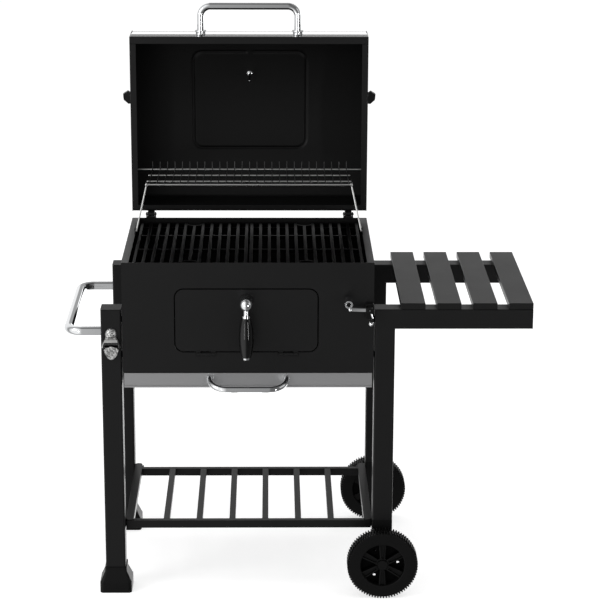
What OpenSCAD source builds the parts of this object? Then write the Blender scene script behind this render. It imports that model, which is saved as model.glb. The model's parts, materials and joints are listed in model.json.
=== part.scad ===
// Trolley charcoal grill: a rectangular firebox on a four-legged trolley, with a barrel-curved lid.
// Millimetres, +Z up, +X to the right, the front faces -Y. The lid is drawn open, at a right angle.

/* [Trolley] */
// Outside width across the legs
legs_x = 720; // [700:5:760]
// Outside depth across the legs
legs_y = 467; // [460:1:480]
// Width of the square tubes
tube = 50; // [46:1:52]
// Wall of the square tubes
tube_wall = 2; // [1.5:0.5:3]
// Height of the leg tops and of the table arms
leg_top = 741; // [730:1:760]
// Height at which the axle blocks meet the right legs
block_top = 191; // [170:1:220]

/* [Feet and wheels] */
// Width of a foot on the ground
foot_w = 80; // [70:1:90]
// Radius of a wheel
wheel_r = 88; // [75:1:95]
// Width of a wheel
wheel_w = 27; // [22:1:32]
// Radius of the axle
axle_r = 6; // [5:0.5:7]
// Teeth around the tread
tread_teeth = 52; // [40:2:60]

/* [Shelf and table] */
// Height of the top of the shelf bars
shelf_z = 179; // [170:1:220]
// Width of the shelf bars
shelf_bar = 15.5; // [12:0.5:18]
// Height of the shelf's front and rear rail
shelf_rail_h = 20; // [16:0.5:20]
// Number of shelf slats
shelf_slats_n = 6; // [4:1:8]
// Right end of the table
table_end = 697; // [660:1:730]
// Width of a table slat
slat_w = 60; // [50:1:64]
// Thickness of a table slat
slat_t = 16; // [12:1:22]
// Overhang of the slats at the back
slat_overhang = 24.3; // [0:0.1:40]
// Reach of the side handle from the middle of the trolley
handle_reach = 453; // [440:1:470]
// Height of the side handle
side_handle_z = 678.5; // [660:0.5:700]

/* [Firebox] */
// Half width of the firebox
box_x = 307; // [305:0.5:308]
// Front face of the firebox
box_front = -236; // [-240:0.5:-235]
// Rear face of the firebox
box_rear = 219; // [215:0.5:222]
// Bottom edge of the firebox
box_low = 581; // [575:0.5:590]
// Top edge of the firebox
box_top = 860; // [855:0.5:860]
// Sheet thickness
sheet = 1.5; // [1.2:0.1:1.8]
// Top of the cooking grates
grate_z = 850; // [846:0.5:852]
// Bars in each grate
grate_bars = 13; // [11:2:15]
// Floor of the charcoal pan
pan_z = 652; // [645:1:660]

/* [Charcoal door] */
// Middle of the door across the front
door_x = -4; // [-10:1:10]
// Width of the door opening
door_w = 353; // [340:1:360]
// Bottom of the door opening
door_low = 632.5; // [632:0.5:636]
// Top of the door opening
door_high = 795.5; // [790:0.5:800]
// Height of the handle spindle
spindle_z = 765; // [762:1:770]

/* [Lid] */
// Front face of the closed lid
lid_front = -245; // [-250:0.5:-243]
// Rear face of the closed lid
lid_rear = 218; // [216:0.5:219]
// Rim of the closed lid
lid_rim = 862; // [861.5:0.5:864]
// Height of the crown above the rim
lid_crown = 200; // [190:1:210]
// Radius of the roof
roof_r = 620; // [560:5:700]
// Radius of the front shoulder
front_r = 70; // [50:1:90]
// Radius of the rear shoulder
rear_r = 15; // [10:1:30]
// Width of the rim flange
lid_flange = 16; // [12:0.5:16]
// Reach of the lid handle
lid_handle_reach = 76; // [65:1:85]

/* [Warming rack] */
// Depth between the rear and front rods
rack_depth = 179.7; // [170:0.1:185]
// Number of wires
rack_wires = 27; // [21:2:27]
// Half width of the wires
rack_x = 255; // [245:1:256]

/* [Hidden] */
$fn = 48;

// Trolley
leg_in = legs_x / 2 - tube;
leg_mid_x = legs_x / 2 - tube / 2;
leg_mid_y = legs_y / 2 - tube / 2;
cap_t = 2;
corner_r = 4;
bolt_r = 3;
foot_floor = 22;
axle_z = wheel_r;
wheel_gap = 13.5;
wheel_in = legs_y / 2 + wheel_gap;
wheel_out = wheel_in + wheel_w;
hub_r = 17;
spoke_in = 13;
spoke_out = 19;
shelf_front = -205;
shelf_rear = 181;
shelf_end_w = 19.6;
shelf_end_z = shelf_z + 2;
shelf_pitch = 83;
slat_first = 373;
slat_pitch = (table_end - slat_w - slat_first) / 3;
handle_r = 10.25;
handle_y = 205;
handle_bend = 35;
screw_r = 2.5;

// Firebox
wall_in = box_x - sheet;
front_in = box_front + sheet;
rear_in = box_rear - sheet;
rim_w = 18;
bolt_heights = [620, 710];
shelf_bolt_y = -shelf_front - shelf_bar / 2;
shelf_bolt_z = shelf_end_z - 10;
grate_t = 12;
grate_half = 283;
grate_gap = 5;
grate_y = 207;
ledge_y = 197;

// Charcoal pan and its lift
pan_x = 262;
pan_front = -215;
pan_back = 200;
pan_h = 60;
lift_x = 296;
lift_z = 747;
lift_r = 5;
bail = 36;
bail_y = 150;
hanger_y = 120;
knob_x = 244;
knob_z = 770;
arm_y = -258;

// Ash drawer
drawer_low = 543;
drawer_high = 579.7;
drawer_x = 304.5;
tray_z = drawer_low + 2.1;
tray_back = 200;
bow_x = 95;
bow_z = 567;
bow_r = 7;
bow_reach = 46;
bow_bend = 34;
bow_tilt = 20;

// Charcoal door
gap = 3;
knuckle_r = 3.6;
door_axis_y = box_front - 2.4;
door_axis_z = door_low - knuckle_r;
door_hinges = [[-127.5, -79.5], [74.5, 122.5]];
door_knuckle = 11.4;
door_pin_r = 1.8;
spindle_r = 5;
grip_y = box_front - 38;
grip_top = 732;
grip_low = 632;
grip_r = 18.5;
tongue = 38;
tongue_y = [front_in + 3.6, front_in + 6];

// Lid, with the arc centres of its section
hinge_y = 227.5;
hinge_z = 867.5;
hinge_spans = [[-271, -245], [246, 272]];
hinge_end = 3.5;
pin_r = 3;
crown_z = lid_rim + lid_crown;
roof_z = crown_z - roof_r;
front_cy = lid_front + front_r;
rear_cy = lid_rear - rear_r;
front_cz = roof_z + sqrt(pow(roof_r - front_r, 2) - pow(front_cy, 2));
rear_cz = roof_z + sqrt(pow(roof_r - rear_r, 2) - pow(rear_cy, 2));
front_turn = atan2(front_cz - roof_z, front_cy);
rear_turn = atan2(rear_cz - roof_z, rear_cy);
lid_handle_x = 125;
lid_handle_z = lid_rim + 32;
lid_handle_r = 9;
lid_handle_bend = 25;
gauge_y = -115;
gauge_tilt = asin(-gauge_y / roof_r);
gauge_r = 28;
gauge_h = 15;
vent_y = -68;
vent_z = lid_rim + 93;
vent_r = 42;
emboss_x = 147;
emboss_front = -173;
emboss_rear = 86;
emboss_w = 9;
emboss_h = 2;

// Warming rack: an exact parallelogram between the lid hinge, the lid, the rack and its legs
rack_y = 280;
rack_z = 975.7;
rack_front = rack_y - rack_depth;
leg_foot_y = rack_front + hinge_y - rack_y;
leg_foot_z = hinge_z;
leg_foot_x = 286;
leg_head_x = 261.5;
rod_r = 2.5;
wire_r = 1.6;
wire_tip = 21;
ear_x = 289;

// The bounding box in plan fixes the origin below its middle
back_most = hinge_y + gauge_top() - hinge_z;
front_most = arm_y - 35;
centre_x = (table_end - handle_reach) / 2;
centre_y = (back_most + front_most) / 2;

black = "#262626";
iron = "#1b1b1b";
plastic = "#141414";
chrome = "#c9cccf";
silver = "#8f9193";

// Helpers

function arc(cx, cy, r, a0, a1, n) =
    [for (i = [0:n]) [cx + r * cos(a0 + (a1 - a0) * i / n), cy + r * sin(a0 + (a1 - a0) * i / n)]];

function roof_at(y) = roof_z + sqrt(roof_r * roof_r - y * y);

// Highest point of the thermometer rim above the ground with the lid closed
function gauge_top() = roof_at(gauge_y) + gauge_h * cos(gauge_tilt) + gauge_r * sin(gauge_tilt);

// Section of the lid, set in from its outside by t
function lid_section(t) = concat(
    [[lid_front + t, lid_rim]],
    arc(front_cy, front_cz, front_r - t, 180, front_turn, 8),
    arc(0, roof_z, roof_r - t, front_turn, rear_turn, 24),
    arc(rear_cy, rear_cz, rear_r - t, rear_turn, 0, 6),
    [[lid_rear - t, lid_rim]]);

module at_origin() translate([-centre_x, -centre_y, 0]) children();

module block(x, y, z) translate([x[0], y[0], z[0]]) cube([x[1] - x[0], y[1] - y[0], z[1] - z[0]]);

module x_rod(r, x, y, z) translate([x[0], y, z]) rotate([0, 90, 0]) cylinder(h = x[1] - x[0], r = r);

module y_rod(r, x, y, z) translate([x, y[0], z]) rotate([-90, 0, 0]) cylinder(h = y[1] - y[0], r = r);

module rod_between(p, q, r) {
    v = q - p;
    translate(p)
        rotate([0, acos(v[2] / norm(v)), atan2(v[1], v[0])])
            cylinder(h = norm(v), r = r);
}

// Extrude a drawing whose axes are Y and Z along X
module along_x(x) translate([x[0], 0, 0]) rotate([90, 0, 90]) linear_extrude(x[1] - x[0]) children();

// Extrude a drawing whose axes are X and Z along Y
module along_y(y) translate([0, y[1], 0]) rotate([90, 0, 0]) linear_extrude(y[1] - y[0]) children();

module rounded(w, h, r) {
    square([w - 2 * r, h], center = true);
    square([w, h - 2 * r], center = true);
    for (sx = [-1, 1], sy = [-1, 1])
        translate([sx * (w / 2 - r), sy * (h / 2 - r)])
            circle(r);
}

module ring(r, t) difference() {
    circle(r);
    circle(r - t);
}

// A bow handle in the XY plane: two legs from y = 0 and a bar at y = -reach
module bow(x, reach, bend, r, t) {
    for (s = [-1, 1]) {
        translate([s * x, 0, 0])
            rotate([90, 0, 0])
                linear_extrude(reach - bend)
                    ring(r, t);
        translate([s * (x - bend), bend - reach, 0])
            rotate([0, 0, s > 0 ? -90 : 180])
                rotate_extrude(angle = 90)
                    translate([bend, 0])
                        ring(r, t);
    }
    translate([bend - x, -reach, 0])
        rotate([90, 0, 90])
            linear_extrude(2 * (x - bend))
                ring(r, t);
}

module lid_open()
    translate([0, hinge_y, hinge_z])
        rotate([-90, 0, 0])
            translate([0, -hinge_y, -hinge_z])
                children();

// The thermometer's own axis, pointing out of the roof
module at_gauge()
    lid_open()
        translate([0, gauge_y, roof_at(gauge_y)])
            rotate([gauge_tilt, 0, 0])
                children();

// Trolley

module frame_bolt_holes(s) for (e = [-1, 1], z = bolt_heights)
    x_rod(bolt_r, s > 0 ? [wall_in - 1, leg_in + 6] : [-leg_in - 6, 1 - wall_in], e * leg_mid_y, z);

module shelf_bolt_holes(s) for (e = [-1, 1])
    x_rod(bolt_r, s > 0 ? [280, leg_in + 6] : [-leg_in - 6, -280], e * shelf_bolt_y, shelf_bolt_z);

module left_leg(e) difference() {
    translate([-leg_mid_x, e * leg_mid_y, foot_floor])
        linear_extrude(leg_top - cap_t - foot_floor)
            rounded(tube, tube, corner_r);
    block([tube_wall - legs_x / 2, -leg_in - tube_wall],
        [e * leg_mid_y - tube / 2 + tube_wall, e * leg_mid_y + tube / 2 - tube_wall],
        [foot_floor - 1, leg_top]);
    frame_bolt_holes(-1);
    shelf_bolt_holes(-1);
}

module left_front_leg() color(black) at_origin() left_leg(-1);

module left_rear_leg() color(black) at_origin() left_leg(1);

function slat_x(i) = slat_first + i * slat_pitch;

module table_screw_holes(z) for (i = [0:3], e = [-1, 1])
    translate([slat_x(i) + slat_w / 2, e * leg_mid_y, z[0]])
        cylinder(h = z[1] - z[0], r = screw_r);

// A leg welded under the arm that carries the table
module right_frame(e) {
    y_hollow = [e * leg_mid_y - tube / 2 + tube_wall, e * leg_mid_y + tube / 2 - tube_wall];
    arm_low = leg_top - tube;
    difference() {
        union() {
            translate([leg_mid_x, e * leg_mid_y, block_top])
                linear_extrude(arm_low + 8 - block_top)
                    rounded(tube, tube, corner_r);
            translate([leg_in, e * leg_mid_y, leg_top - tube / 2])
                rotate([90, 0, 90])
                    linear_extrude(table_end - cap_t - leg_in)
                        rounded(tube, tube, corner_r);
        }
        block([leg_in + tube_wall, legs_x / 2 - tube_wall], y_hollow, [block_top - 1, arm_low + 10]);
        block([leg_in + tube_wall, table_end], y_hollow, [arm_low + tube_wall, leg_top - tube_wall]);
        frame_bolt_holes(1);
        table_screw_holes([arm_low - 1, leg_top + 1]);
    }
}

module right_front_frame() color(black) at_origin() right_frame(-1);

module right_rear_frame() color(black) at_origin() right_frame(1);

// A push-in end cap facing +Z, with its spigot below
module tube_cap() {
    plug = tube - 2 * tube_wall;
    translate([0, 0, -cap_t])
        linear_extrude(cap_t)
            rounded(tube, tube, corner_r);
    difference() {
        translate([-plug / 2, -plug / 2, -cap_t - 16])
            cube([plug, plug, 16]);
        translate([2 - plug / 2, 2 - plug / 2, -cap_t - 17])
            cube([plug - 4, plug - 4, 17]);
    }
}

module tube_caps() color(black) at_origin() for (e = [-1, 1]) {
    translate([-leg_mid_x, e * leg_mid_y, leg_top])
        tube_cap();
    translate([table_end, e * leg_mid_y, leg_top - tube / 2])
        rotate([0, 90, 0])
            tube_cap();
}

// A flared foot with a square socket for the leg
module foot() {
    collar = tube + 5;
    difference() {
        union() {
            linear_extrude(26) rounded(foot_w, foot_w - 4, 9);
            hull() {
                translate([0, 0, 26]) linear_extrude(0.5) rounded(foot_w, foot_w - 4, 9, $fn = 32);
                translate([0, 0, 53]) linear_extrude(0.5) rounded(collar, collar, 5, $fn = 32);
            }
            translate([0, 0, 53]) linear_extrude(12) rounded(collar, collar, 5);
        }
        translate([-tube / 2, -tube / 2, foot_floor])
            cube([tube, tube, 60]);
    }
}

module feet() color(plastic) at_origin() for (e = [-1, 1])
    translate([-leg_mid_x, e * leg_mid_y, 0])
        foot();

// The moulded lower end of a right leg, with a boss towards the wheel
module axle_block(e) {
    plug = tube - 2 * tube_wall;
    difference() {
        union() {
            translate([leg_in, e * leg_mid_y - tube / 2, axle_z])
                cube([tube, tube, block_top - axle_z]);
            y_rod(tube / 2, leg_mid_x, [e * leg_mid_y - tube / 2, e * leg_mid_y + tube / 2], axle_z);
            y_rod(15, leg_mid_x,
                e > 0 ? [leg_mid_y, wheel_in - 1] : [1 - wheel_in, -leg_mid_y], axle_z);
            translate([leg_mid_x - plug / 2, e * leg_mid_y - plug / 2, block_top - 1])
                cube([plug, plug, 41]);
        }
        y_rod(axle_r, leg_mid_x, [-legs_y, legs_y], axle_z);
        shelf_bolt_holes(1);
    }
}

module axle_blocks() color(plastic) at_origin() {
    axle_block(-1);
    axle_block(1);
}

module axle() color(chrome) at_origin()
    y_rod(axle_r, leg_mid_x, [-wheel_out - 6, wheel_out + 6], axle_z);

module axle_caps() color(plastic) at_origin() for (e = [-1, 1]) {
    y = e > 0 ? [wheel_out + 2.5, wheel_out + 8] : [-wheel_out - 8, -wheel_out - 2.5];
    difference() {
        y_rod(12.5, leg_mid_x, y, axle_z);
        y_rod(axle_r, leg_mid_x, [-wheel_out - 6, wheel_out + 6], axle_z);
    }
}

// Outline of a row of n tapered teeth of the given depth on the radius r
function tread(n, r, dent) = [for (i = [0:n - 1], c = [[-0.19, 1], [-0.14, 0], [0.14, 0], [0.19, 1]])
    let (a = 360 * (i + c[0]) / n, q = r - dent * c[1])
    [q * cos(a), q * sin(a)]];

// A wheel on the Z axis whose outer face looks to +Z, resting on z = 0
module wheel() difference() {
    union() {
        linear_extrude(wheel_w) difference() {
            circle(wheel_r - 3);
            circle(60);
        }
        for (k = [0, 1])
            translate([0, 0, k * (wheel_w - 12)])
                rotate([0, 0, k * 180 / tread_teeth])
                    linear_extrude(12)
                        difference() {
                            polygon(tread(tread_teeth, wheel_r, 2.4));
                            circle(wheel_r - 6);
                        }
        rotate_extrude() polygon([[4, -0.5], [hub_r, -0.5], [hub_r, 8], [55, 8], [55, 0], [62, 0],
            [62, wheel_w], [55, wheel_w], [55, 15], [hub_r, 15], [hub_r, wheel_w + 2], [4, wheel_w + 2]]);
        for (i = [0:5]) rotate([0, 0, 60 * i + 30])
            translate([0, 0, 4])
                linear_extrude(wheel_w - 6)
                    polygon([[hub_r - 3, -spoke_in / 2], [58, -spoke_out / 2], [58, spoke_out / 2],
                        [hub_r - 3, spoke_in / 2]]);
    }
    for (i = [0:5]) rotate([0, 0, 60 * i + 30])
        translate([hub_r + 4, -3.5, wheel_w - 6])
            cube([28, 7, 10]);
    for (a = [0, 120, 240]) rotate([0, 0, a])
        translate([39, 0, 0])
            cylinder(h = 30, r = 4);
    translate([0, 0, -5]) cylinder(h = 50, r = axle_r + 0.05);
}

module front_wheel() color(plastic) at_origin()
    translate([leg_mid_x, -wheel_in, axle_z])
        rotate([90, 0, 0])
            wheel();

module rear_wheel() color(plastic) at_origin()
    translate([leg_mid_x, wheel_in, axle_z])
        rotate([-90, 0, 0])
            wheel();

// Shelf

// A thin square tube along one axis, open at its ends
module shelf_tube(x, y, z, axis) {
    far = [axis == 0 ? 1 : -1.2, axis == 1 ? 1 : -1.2, -1.2];
    difference() {
        block(x, y, z);
        block([x[0] - far[0], x[1] + far[0]], [y[0] - far[1], y[1] + far[1]], [z[0] + 1.2, z[1] - 1.2]);
    }
}

module shelf_rails() color(black) at_origin() {
    z = [shelf_z - shelf_rail_h, shelf_z];
    x = [shelf_end_w - leg_in + 0.4, leg_in - shelf_end_w - 0.4];
    shelf_tube(x, [shelf_front, shelf_front + shelf_bar], z, 0);
    shelf_tube(x, [shelf_rear - shelf_bar, shelf_rear], z, 0);
}

// A pressed channel, open below, with rounded ends
module shelf_end_bar() difference() {
    linear_extrude(20) {
        square([shelf_end_w, 2 * leg_mid_y - 28], center = true);
        for (e = [-1, 1]) translate([0, e * (leg_mid_y - 14)])
            circle(shelf_end_w / 2);
    }
    translate([2 - shelf_end_w / 2, 14 - leg_mid_y, -1])
        cube([shelf_end_w - 4, 2 * leg_mid_y - 28, 19.5]);
}

module shelf_end_bars() color(black) at_origin() difference() {
    for (s = [-1, 1])
        translate([s * (leg_in - shelf_end_w / 2), 0, shelf_end_z - 20])
            shelf_end_bar();
    shelf_bolt_holes(-1);
    shelf_bolt_holes(1);
}

module shelf_slats() color(black) at_origin() for (i = [0:shelf_slats_n - 1]) {
    x = (i - (shelf_slats_n - 1) / 2) * shelf_pitch;
    shelf_tube([x - shelf_bar / 2, x + shelf_bar / 2],
        [shelf_front + shelf_bar, shelf_rear - shelf_bar], [shelf_z - shelf_bar, shelf_z], 1);
}

// Table

// Slats folded from sheet and open below, with a boss at each screw
module table_slats() color(black) at_origin() difference() {
    for (i = [0:3]) {
        difference() {
            block([slat_x(i), slat_x(i) + slat_w], [-legs_y / 2, legs_y / 2 + slat_overhang],
                [leg_top, leg_top + slat_t]);
            block([slat_x(i) + sheet, slat_x(i) + slat_w - sheet],
                [sheet - legs_y / 2, legs_y / 2 + slat_overhang - sheet], [leg_top - 1, leg_top + slat_t - sheet]);
        }
        for (e = [-1, 1])
            translate([slat_x(i) + slat_w / 2, e * leg_mid_y, leg_top])
                cylinder(h = slat_t - sheet / 2, r = 8);
    }
    table_screw_holes([leg_top - 1, leg_top + slat_t - 4]);
}

module table_screws() color(silver) at_origin() {
    table_screw_holes([leg_top - tube - 1, leg_top + slat_t - 4]);
    for (i = [0:3], e = [-1, 1])
        translate([slat_x(i) + slat_w / 2, e * leg_mid_y, leg_top - tube - 3.5])
            cylinder(h = 3.5, r = 5.5);
}

// Firebox screws with their spacers, and the shelf screws
module frame_bolts() color(silver) at_origin() for (s = [0, 1]) mirror([s, 0, 0]) {
    for (e = [-1, 1], z = bolt_heights) {
        x_rod(bolt_r, [wall_in - 1, leg_in + 6], e * leg_mid_y, z);
        x_rod(6, [wall_in - 4, wall_in], e * leg_mid_y, z);
        x_rod(8, [box_x, leg_in], e * leg_mid_y, z);
    }
    for (e = [-1, 1]) {
        x_rod(bolt_r, [leg_in - shelf_end_w - 1, leg_in + 6], e * shelf_bolt_y, shelf_bolt_z);
        x_rod(6, [leg_in - shelf_end_w - 3.5, leg_in - shelf_end_w], e * shelf_bolt_y, shelf_bolt_z);
    }
}

module side_handle() color(chrome) at_origin()
    translate([-legs_x / 2, 0, side_handle_z])
        rotate([0, 0, -90])
            bow(handle_y, handle_reach - handle_r - legs_x / 2, handle_bend, handle_r, 1.5);

// An oval whose upper and lower halves differ in height
function oval(w, up, down, z) = [for (i = [0:35]) [w * cos(10 * i), z + (i < 18 ? up : down) * sin(10 * i)]];

// A cast opener on the front of the left front leg: domed head, flared hood and oval lip
module bottle_opener() color(chrome) at_origin() translate([1 - leg_mid_x, -legs_y / 2, 0]) {
    along_y([-3, 0]) {
        translate([0, 677]) circle(15);
        translate([-14.5, 637]) square([29, 40]);
    }
    translate([0, -3, 677])
        rotate([90, 0, 0])
            cylinder(h = 4.5, r1 = 14.8, r2 = 9);
    difference() {
        along_y([-16, 0]) polygon([[-16, 668], [16, 668], [22.5, 650], [-22.5, 650]]);
        along_y([-13, -3]) polygon([[-13, 664], [13, 664], [18, 649], [-18, 649]]);
        along_y([-17, -12]) polygon([[-12, 658], [12, 658], [15.5, 649], [-15.5, 649]]);
    }
    along_y([-6, 0]) polygon(oval(17.8, 9, 21, 638));
    along_y([-8.5, -6]) polygon(oval(13.5, 5.5, 15.5, 637));
    block([-6, 6], [-10.5, -5], [644, 648.5]);
}

// Firebox

module door_shape(inset)
    translate([door_x, (door_low + door_high) / 2])
        rounded(door_w - 2 * inset, door_high - door_low - 2 * inset, 24 - inset);

// The fixed middle knuckle of each door hinge
module box_knuckles() for (h = door_hinges) {
    x = [h[0] + door_knuckle + 0.6, h[1] - door_knuckle - 0.6];
    x_rod(knuckle_r, x, door_axis_y, door_axis_z);
    block(x, [door_axis_y, box_front], [door_axis_z - knuckle_r, door_axis_z]);
}

// Spans of the door's two knuckles in hinge h, grown by g
function door_spans(h, g) = [[h[0] - g, h[0] + door_knuckle + g], [h[1] - door_knuckle - g, h[1] + g]];

module firebox_front() color(black) at_origin() difference() {
    union() {
        along_y([box_front, front_in]) difference() {
            translate([-box_x, box_low]) square([2 * box_x, box_top - box_low]);
            door_shape(0);
        }
        block([-290, 290], [front_in, front_in + 12], [box_low, box_low + sheet]);
        box_knuckles();
    }
    for (h = door_hinges) {
        x_rod(door_pin_r, [h[0] - 1, h[1] + 1], door_axis_y, door_axis_z);
        for (x = door_spans(h, 0.6))
            block(x, [box_front - 1, front_in + 1], [door_axis_z - knuckle_r - 0.6, door_low + 1]);
    }
    y_rod(lift_r + 1, lift_x, [box_front - 1, front_in + 1], lift_z);
}

// A side wall on the +X side, with flanges all round and an ear for the warming rack's leg
module side_wall() difference() {
    union() {
        block([wall_in, box_x], [front_in, rear_in], [box_low, box_top]);
        block([box_x - rim_w, wall_in], [front_in, rear_in], [box_top - sheet, box_top]);
        block([box_x - 15, wall_in], [front_in, rear_in], [box_low, box_low + sheet]);
        block([box_x - 15, wall_in], [front_in, front_in + sheet], [box_low, box_top]);
        block([box_x - 15, wall_in], [rear_in - sheet, rear_in], [box_low, box_top]);
        block([ear_x, ear_x + sheet], [leg_foot_y - 9, leg_foot_y + 9], [box_top - sheet, leg_foot_z]);
        x_rod(9, [ear_x, ear_x + sheet], leg_foot_y, leg_foot_z);
    }
    x_rod(rod_r + 0.05, [ear_x - 1, ear_x + 3], leg_foot_y, leg_foot_z);
    frame_bolt_holes(1);
    y_rod(lift_r + 2, lift_x, [front_in - 1, front_in + 3], lift_z);
}

module firebox_right() color(black) at_origin() side_wall();

module firebox_left() color(black) at_origin() mirror([1, 0, 0]) side_wall();

module firebox_rear() color(black) at_origin() {
    block([-box_x, box_x], [rear_in, box_rear], [box_low, box_top]);
    block([-290, 290], [rear_in - 12, rear_in], [box_low, box_low + sheet]);
}

module grate_ledges() color(black) at_origin() {
    z = grate_z - grate_t - 0.1;
    block([-285, 285], [front_in, -ledge_y], [z - sheet, z]);
    block([-285, 285], [front_in, front_in + sheet], [z - 16, z]);
    block([-285, 285], [ledge_y, rear_in], [z - sheet, z]);
    block([-285, 285], [rear_in - sheet, rear_in], [z - 16, z]);
}

// Bars along Y, four cross bars and a round hand notch at each end
module grate() {
    w = grate_half - grate_gap / 2;
    bar = 8;
    pitch = (w - bar) / (grate_bars - 1);
    notch = pitch - bar / 2;
    difference() {
        union() {
            for (i = [0:grate_bars - 1])
                translate([i * pitch, -grate_y, 0]) cube([bar, 2 * grate_y, grate_t]);
            for (y = [-grate_y, -71, 66, grate_y - bar])
                translate([0, y, 2]) cube([w, bar, grate_t - 2]);
            for (e = [-1, 1]) translate([w / 2, e * (grate_y - 10), 0])
                cylinder(h = grate_t, r = notch + 7);
        }
        for (e = [-1, 1]) {
            translate([w / 2, e * (grate_y - 10), -1]) cylinder(h = grate_t + 2, r = notch);
            translate([w / 2 - notch, e * (grate_y + 10) - 20, -1]) cube([2 * notch, 40, grate_t + 2]);
        }
        for (e = [-1, 1]) translate([-10, e * (grate_y + 20) - 20, -1])
            cube([w + 20, 40, grate_t + 2]);
    }
}

module left_grate() color(iron) at_origin()
    translate([-grate_half, 0, grate_z - grate_t])
        grate();

module right_grate() color(iron) at_origin()
    translate([grate_gap / 2, 0, grate_z - grate_t])
        grate();

// Charcoal pan and its lift

module charcoal_pan() color(iron) at_origin() {
    difference() {
        block([-pan_x, pan_x], [pan_front, pan_back], [pan_z, pan_z + pan_h]);
        block([sheet - pan_x, pan_x - sheet], [pan_front + sheet, pan_back - sheet],
            [pan_z + sheet, pan_z + pan_h + 1]);
        for (i = [-6:6], y = [-100, 85])
            block([36 * i - 4, 36 * i + 4], [y - 60, y + 60], [pan_z - 1, pan_z + 3]);
    }
    for (y = [-hanger_y, hanger_y]) {
        along_y([y - 1.5, y + 1.5]) difference() {
            union() {
                translate([pan_x, pan_z + 20]) square([22, lift_z + 14 - pan_z - 20]);
                translate([pan_x - 20, pan_z + pan_h]) square([21, lift_z + 14 - pan_z - pan_h]);
            }
            translate([lift_x - bail - lift_r - 1.2, lift_z - lift_r - 0.8])
                square([2 * lift_r + 9.4, 2 * lift_r + 1.6]);
        }
        block([-298, -pan_x], [y - 1.5, y + 1.5], [pan_z + 20, pan_z + pan_h]);
    }
}

module pan_guides() color(iron) at_origin() for (y = [-hanger_y, hanger_y], s = [0, 1]) {
    side = s == 0 ? [y - 6, y - 2.2] : [y + 2.2, y + 6];
    block([-wall_in, -272], side, [pan_z - 10, pan_z + pan_h + 40]);
}

// A crank web across the lift, square to Y
module web(y) along_y([y - 4, y + 4]) {
    translate([lift_x - bail, lift_z - 8]) square([bail, 16]);
    for (x = [lift_x - bail, lift_x]) translate([x, lift_z]) circle(8);
}

module crank_lever() color(chrome) at_origin() {
    pivot = [lift_x, arm_y, lift_z];
    elbow = [249, arm_y, 748.5];
    knob = [knob_x, arm_y, knob_z];
    y_rod(lift_r, lift_x, [arm_y, -bail_y], lift_z);
    y_rod(lift_r, lift_x - bail, [-bail_y, bail_y], lift_z);
    y_rod(lift_r, lift_x, [bail_y, rear_in - 3], lift_z);
    web(-bail_y);
    web(bail_y);
    y_rod(7, lift_x, [arm_y - 7, arm_y + 6], lift_z);
    rod_between(pivot, elbow, 5.5);
    translate(elbow) sphere(6.2);
    rod_between(elbow, knob, 5);
    difference() {
        y_rod(9.5, knob_x, [front_most, arm_y + 6], knob_z);
        y_rod(5.5, knob_x, [front_most - 1, front_most + 5], knob_z);
    }
}

module crank_bracket() color(plastic) at_origin() difference() {
    block([lift_x - 9, lift_x + 10], [box_front - 15, box_front], [lift_z - 25, lift_z + 13]);
    y_rod(lift_r + 0.05, lift_x, [box_front - 20, box_front + 1], lift_z);
}

module crank_rear_bush() color(plastic) at_origin() difference() {
    y_rod(9, lift_x, [rear_in - 16, rear_in - sheet], lift_z);
    y_rod(lift_r + 0.05, lift_x, [rear_in - 20, rear_in], lift_z);
}

// A dome-headed bolt on the panel and the pin across the bracket
module bracket_bolts() color(chrome) at_origin() {
    translate([lift_x + 5, box_front, 705]) rotate([90, 0, 0]) {
        cylinder(h = 2, r = 6);
        translate([0, 0, 2]) intersection() {
            translate([0, 0, -3]) sphere(6.6);
            cylinder(h = 10, r = 10);
        }
    }
    rod_between([lift_x + 3.5, box_front - 17.5, lift_z - 8], [lift_x + 8, box_front - 17.5, lift_z - 22], 2.5);
}

// Ash drawer

module runner() {
    block([wall_in - sheet, wall_in], [front_in + 3, rear_in], [drawer_low + 0.5, box_low]);
    block([wall_in - 17, wall_in], [front_in + 3, rear_in], [drawer_low + 0.5, drawer_low + 2]);
}

module drawer_runners() color(black) at_origin() for (s = [0, 1]) mirror([s, 0, 0]) runner();

module drawer_tray() color(iron) at_origin() difference() {
    block([-301, 301], [front_in + 1, tray_back], [tray_z, tray_z + 30]);
    block([-299.8, 299.8], [front_in + 2.2, tray_back - 1.2], [tray_z + 1.2, tray_z + 31]);
}

module drawer_front() color(silver) at_origin() {
    block([-drawer_x, drawer_x], [box_front - 1, front_in + 1], [drawer_low, drawer_high]);
    block([-drawer_x, drawer_x], [box_front - 3, box_front - 1], [drawer_low, drawer_low + 5]);
}

module drawer_handle() color(chrome) at_origin()
    translate([0, box_front - 1, bow_z])
        rotate([bow_tilt, 0, 0])
            difference() {
                translate([0, 3, 0]) bow(bow_x, bow_reach + 3, bow_bend, bow_r, bow_r - 2);
                rotate([-bow_tilt, 0, 0]) block([-200, 200], [0, 20], [-30, 30]);
            }

// Charcoal door

module charcoal_door() color(black) at_origin() difference() {
    union() {
        along_y([box_front, front_in]) door_shape(gap);
        for (h = door_hinges, x = door_spans(h, 0)) {
            x_rod(knuckle_r, x, door_axis_y, door_axis_z);
            block(x, [box_front - 1.2, front_in], [door_axis_z + 0.5, door_low + gap + 1]);
        }
        y_rod(15, door_x, [box_front - 5, box_front], spindle_z);
    }
    for (h = door_hinges) x_rod(door_pin_r + 0.05, [h[0] + 1.5, h[1] - 1.5], door_axis_y, door_axis_z);
    y_rod(spindle_r + 0.05, door_x, [box_front - 10, front_in + 1], spindle_z);
}

module door_hinge_pins() color(chrome) at_origin() for (h = door_hinges)
    x_rod(door_pin_r, [h[0] + 2, h[1] - 2], door_axis_y, door_axis_z);

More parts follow.
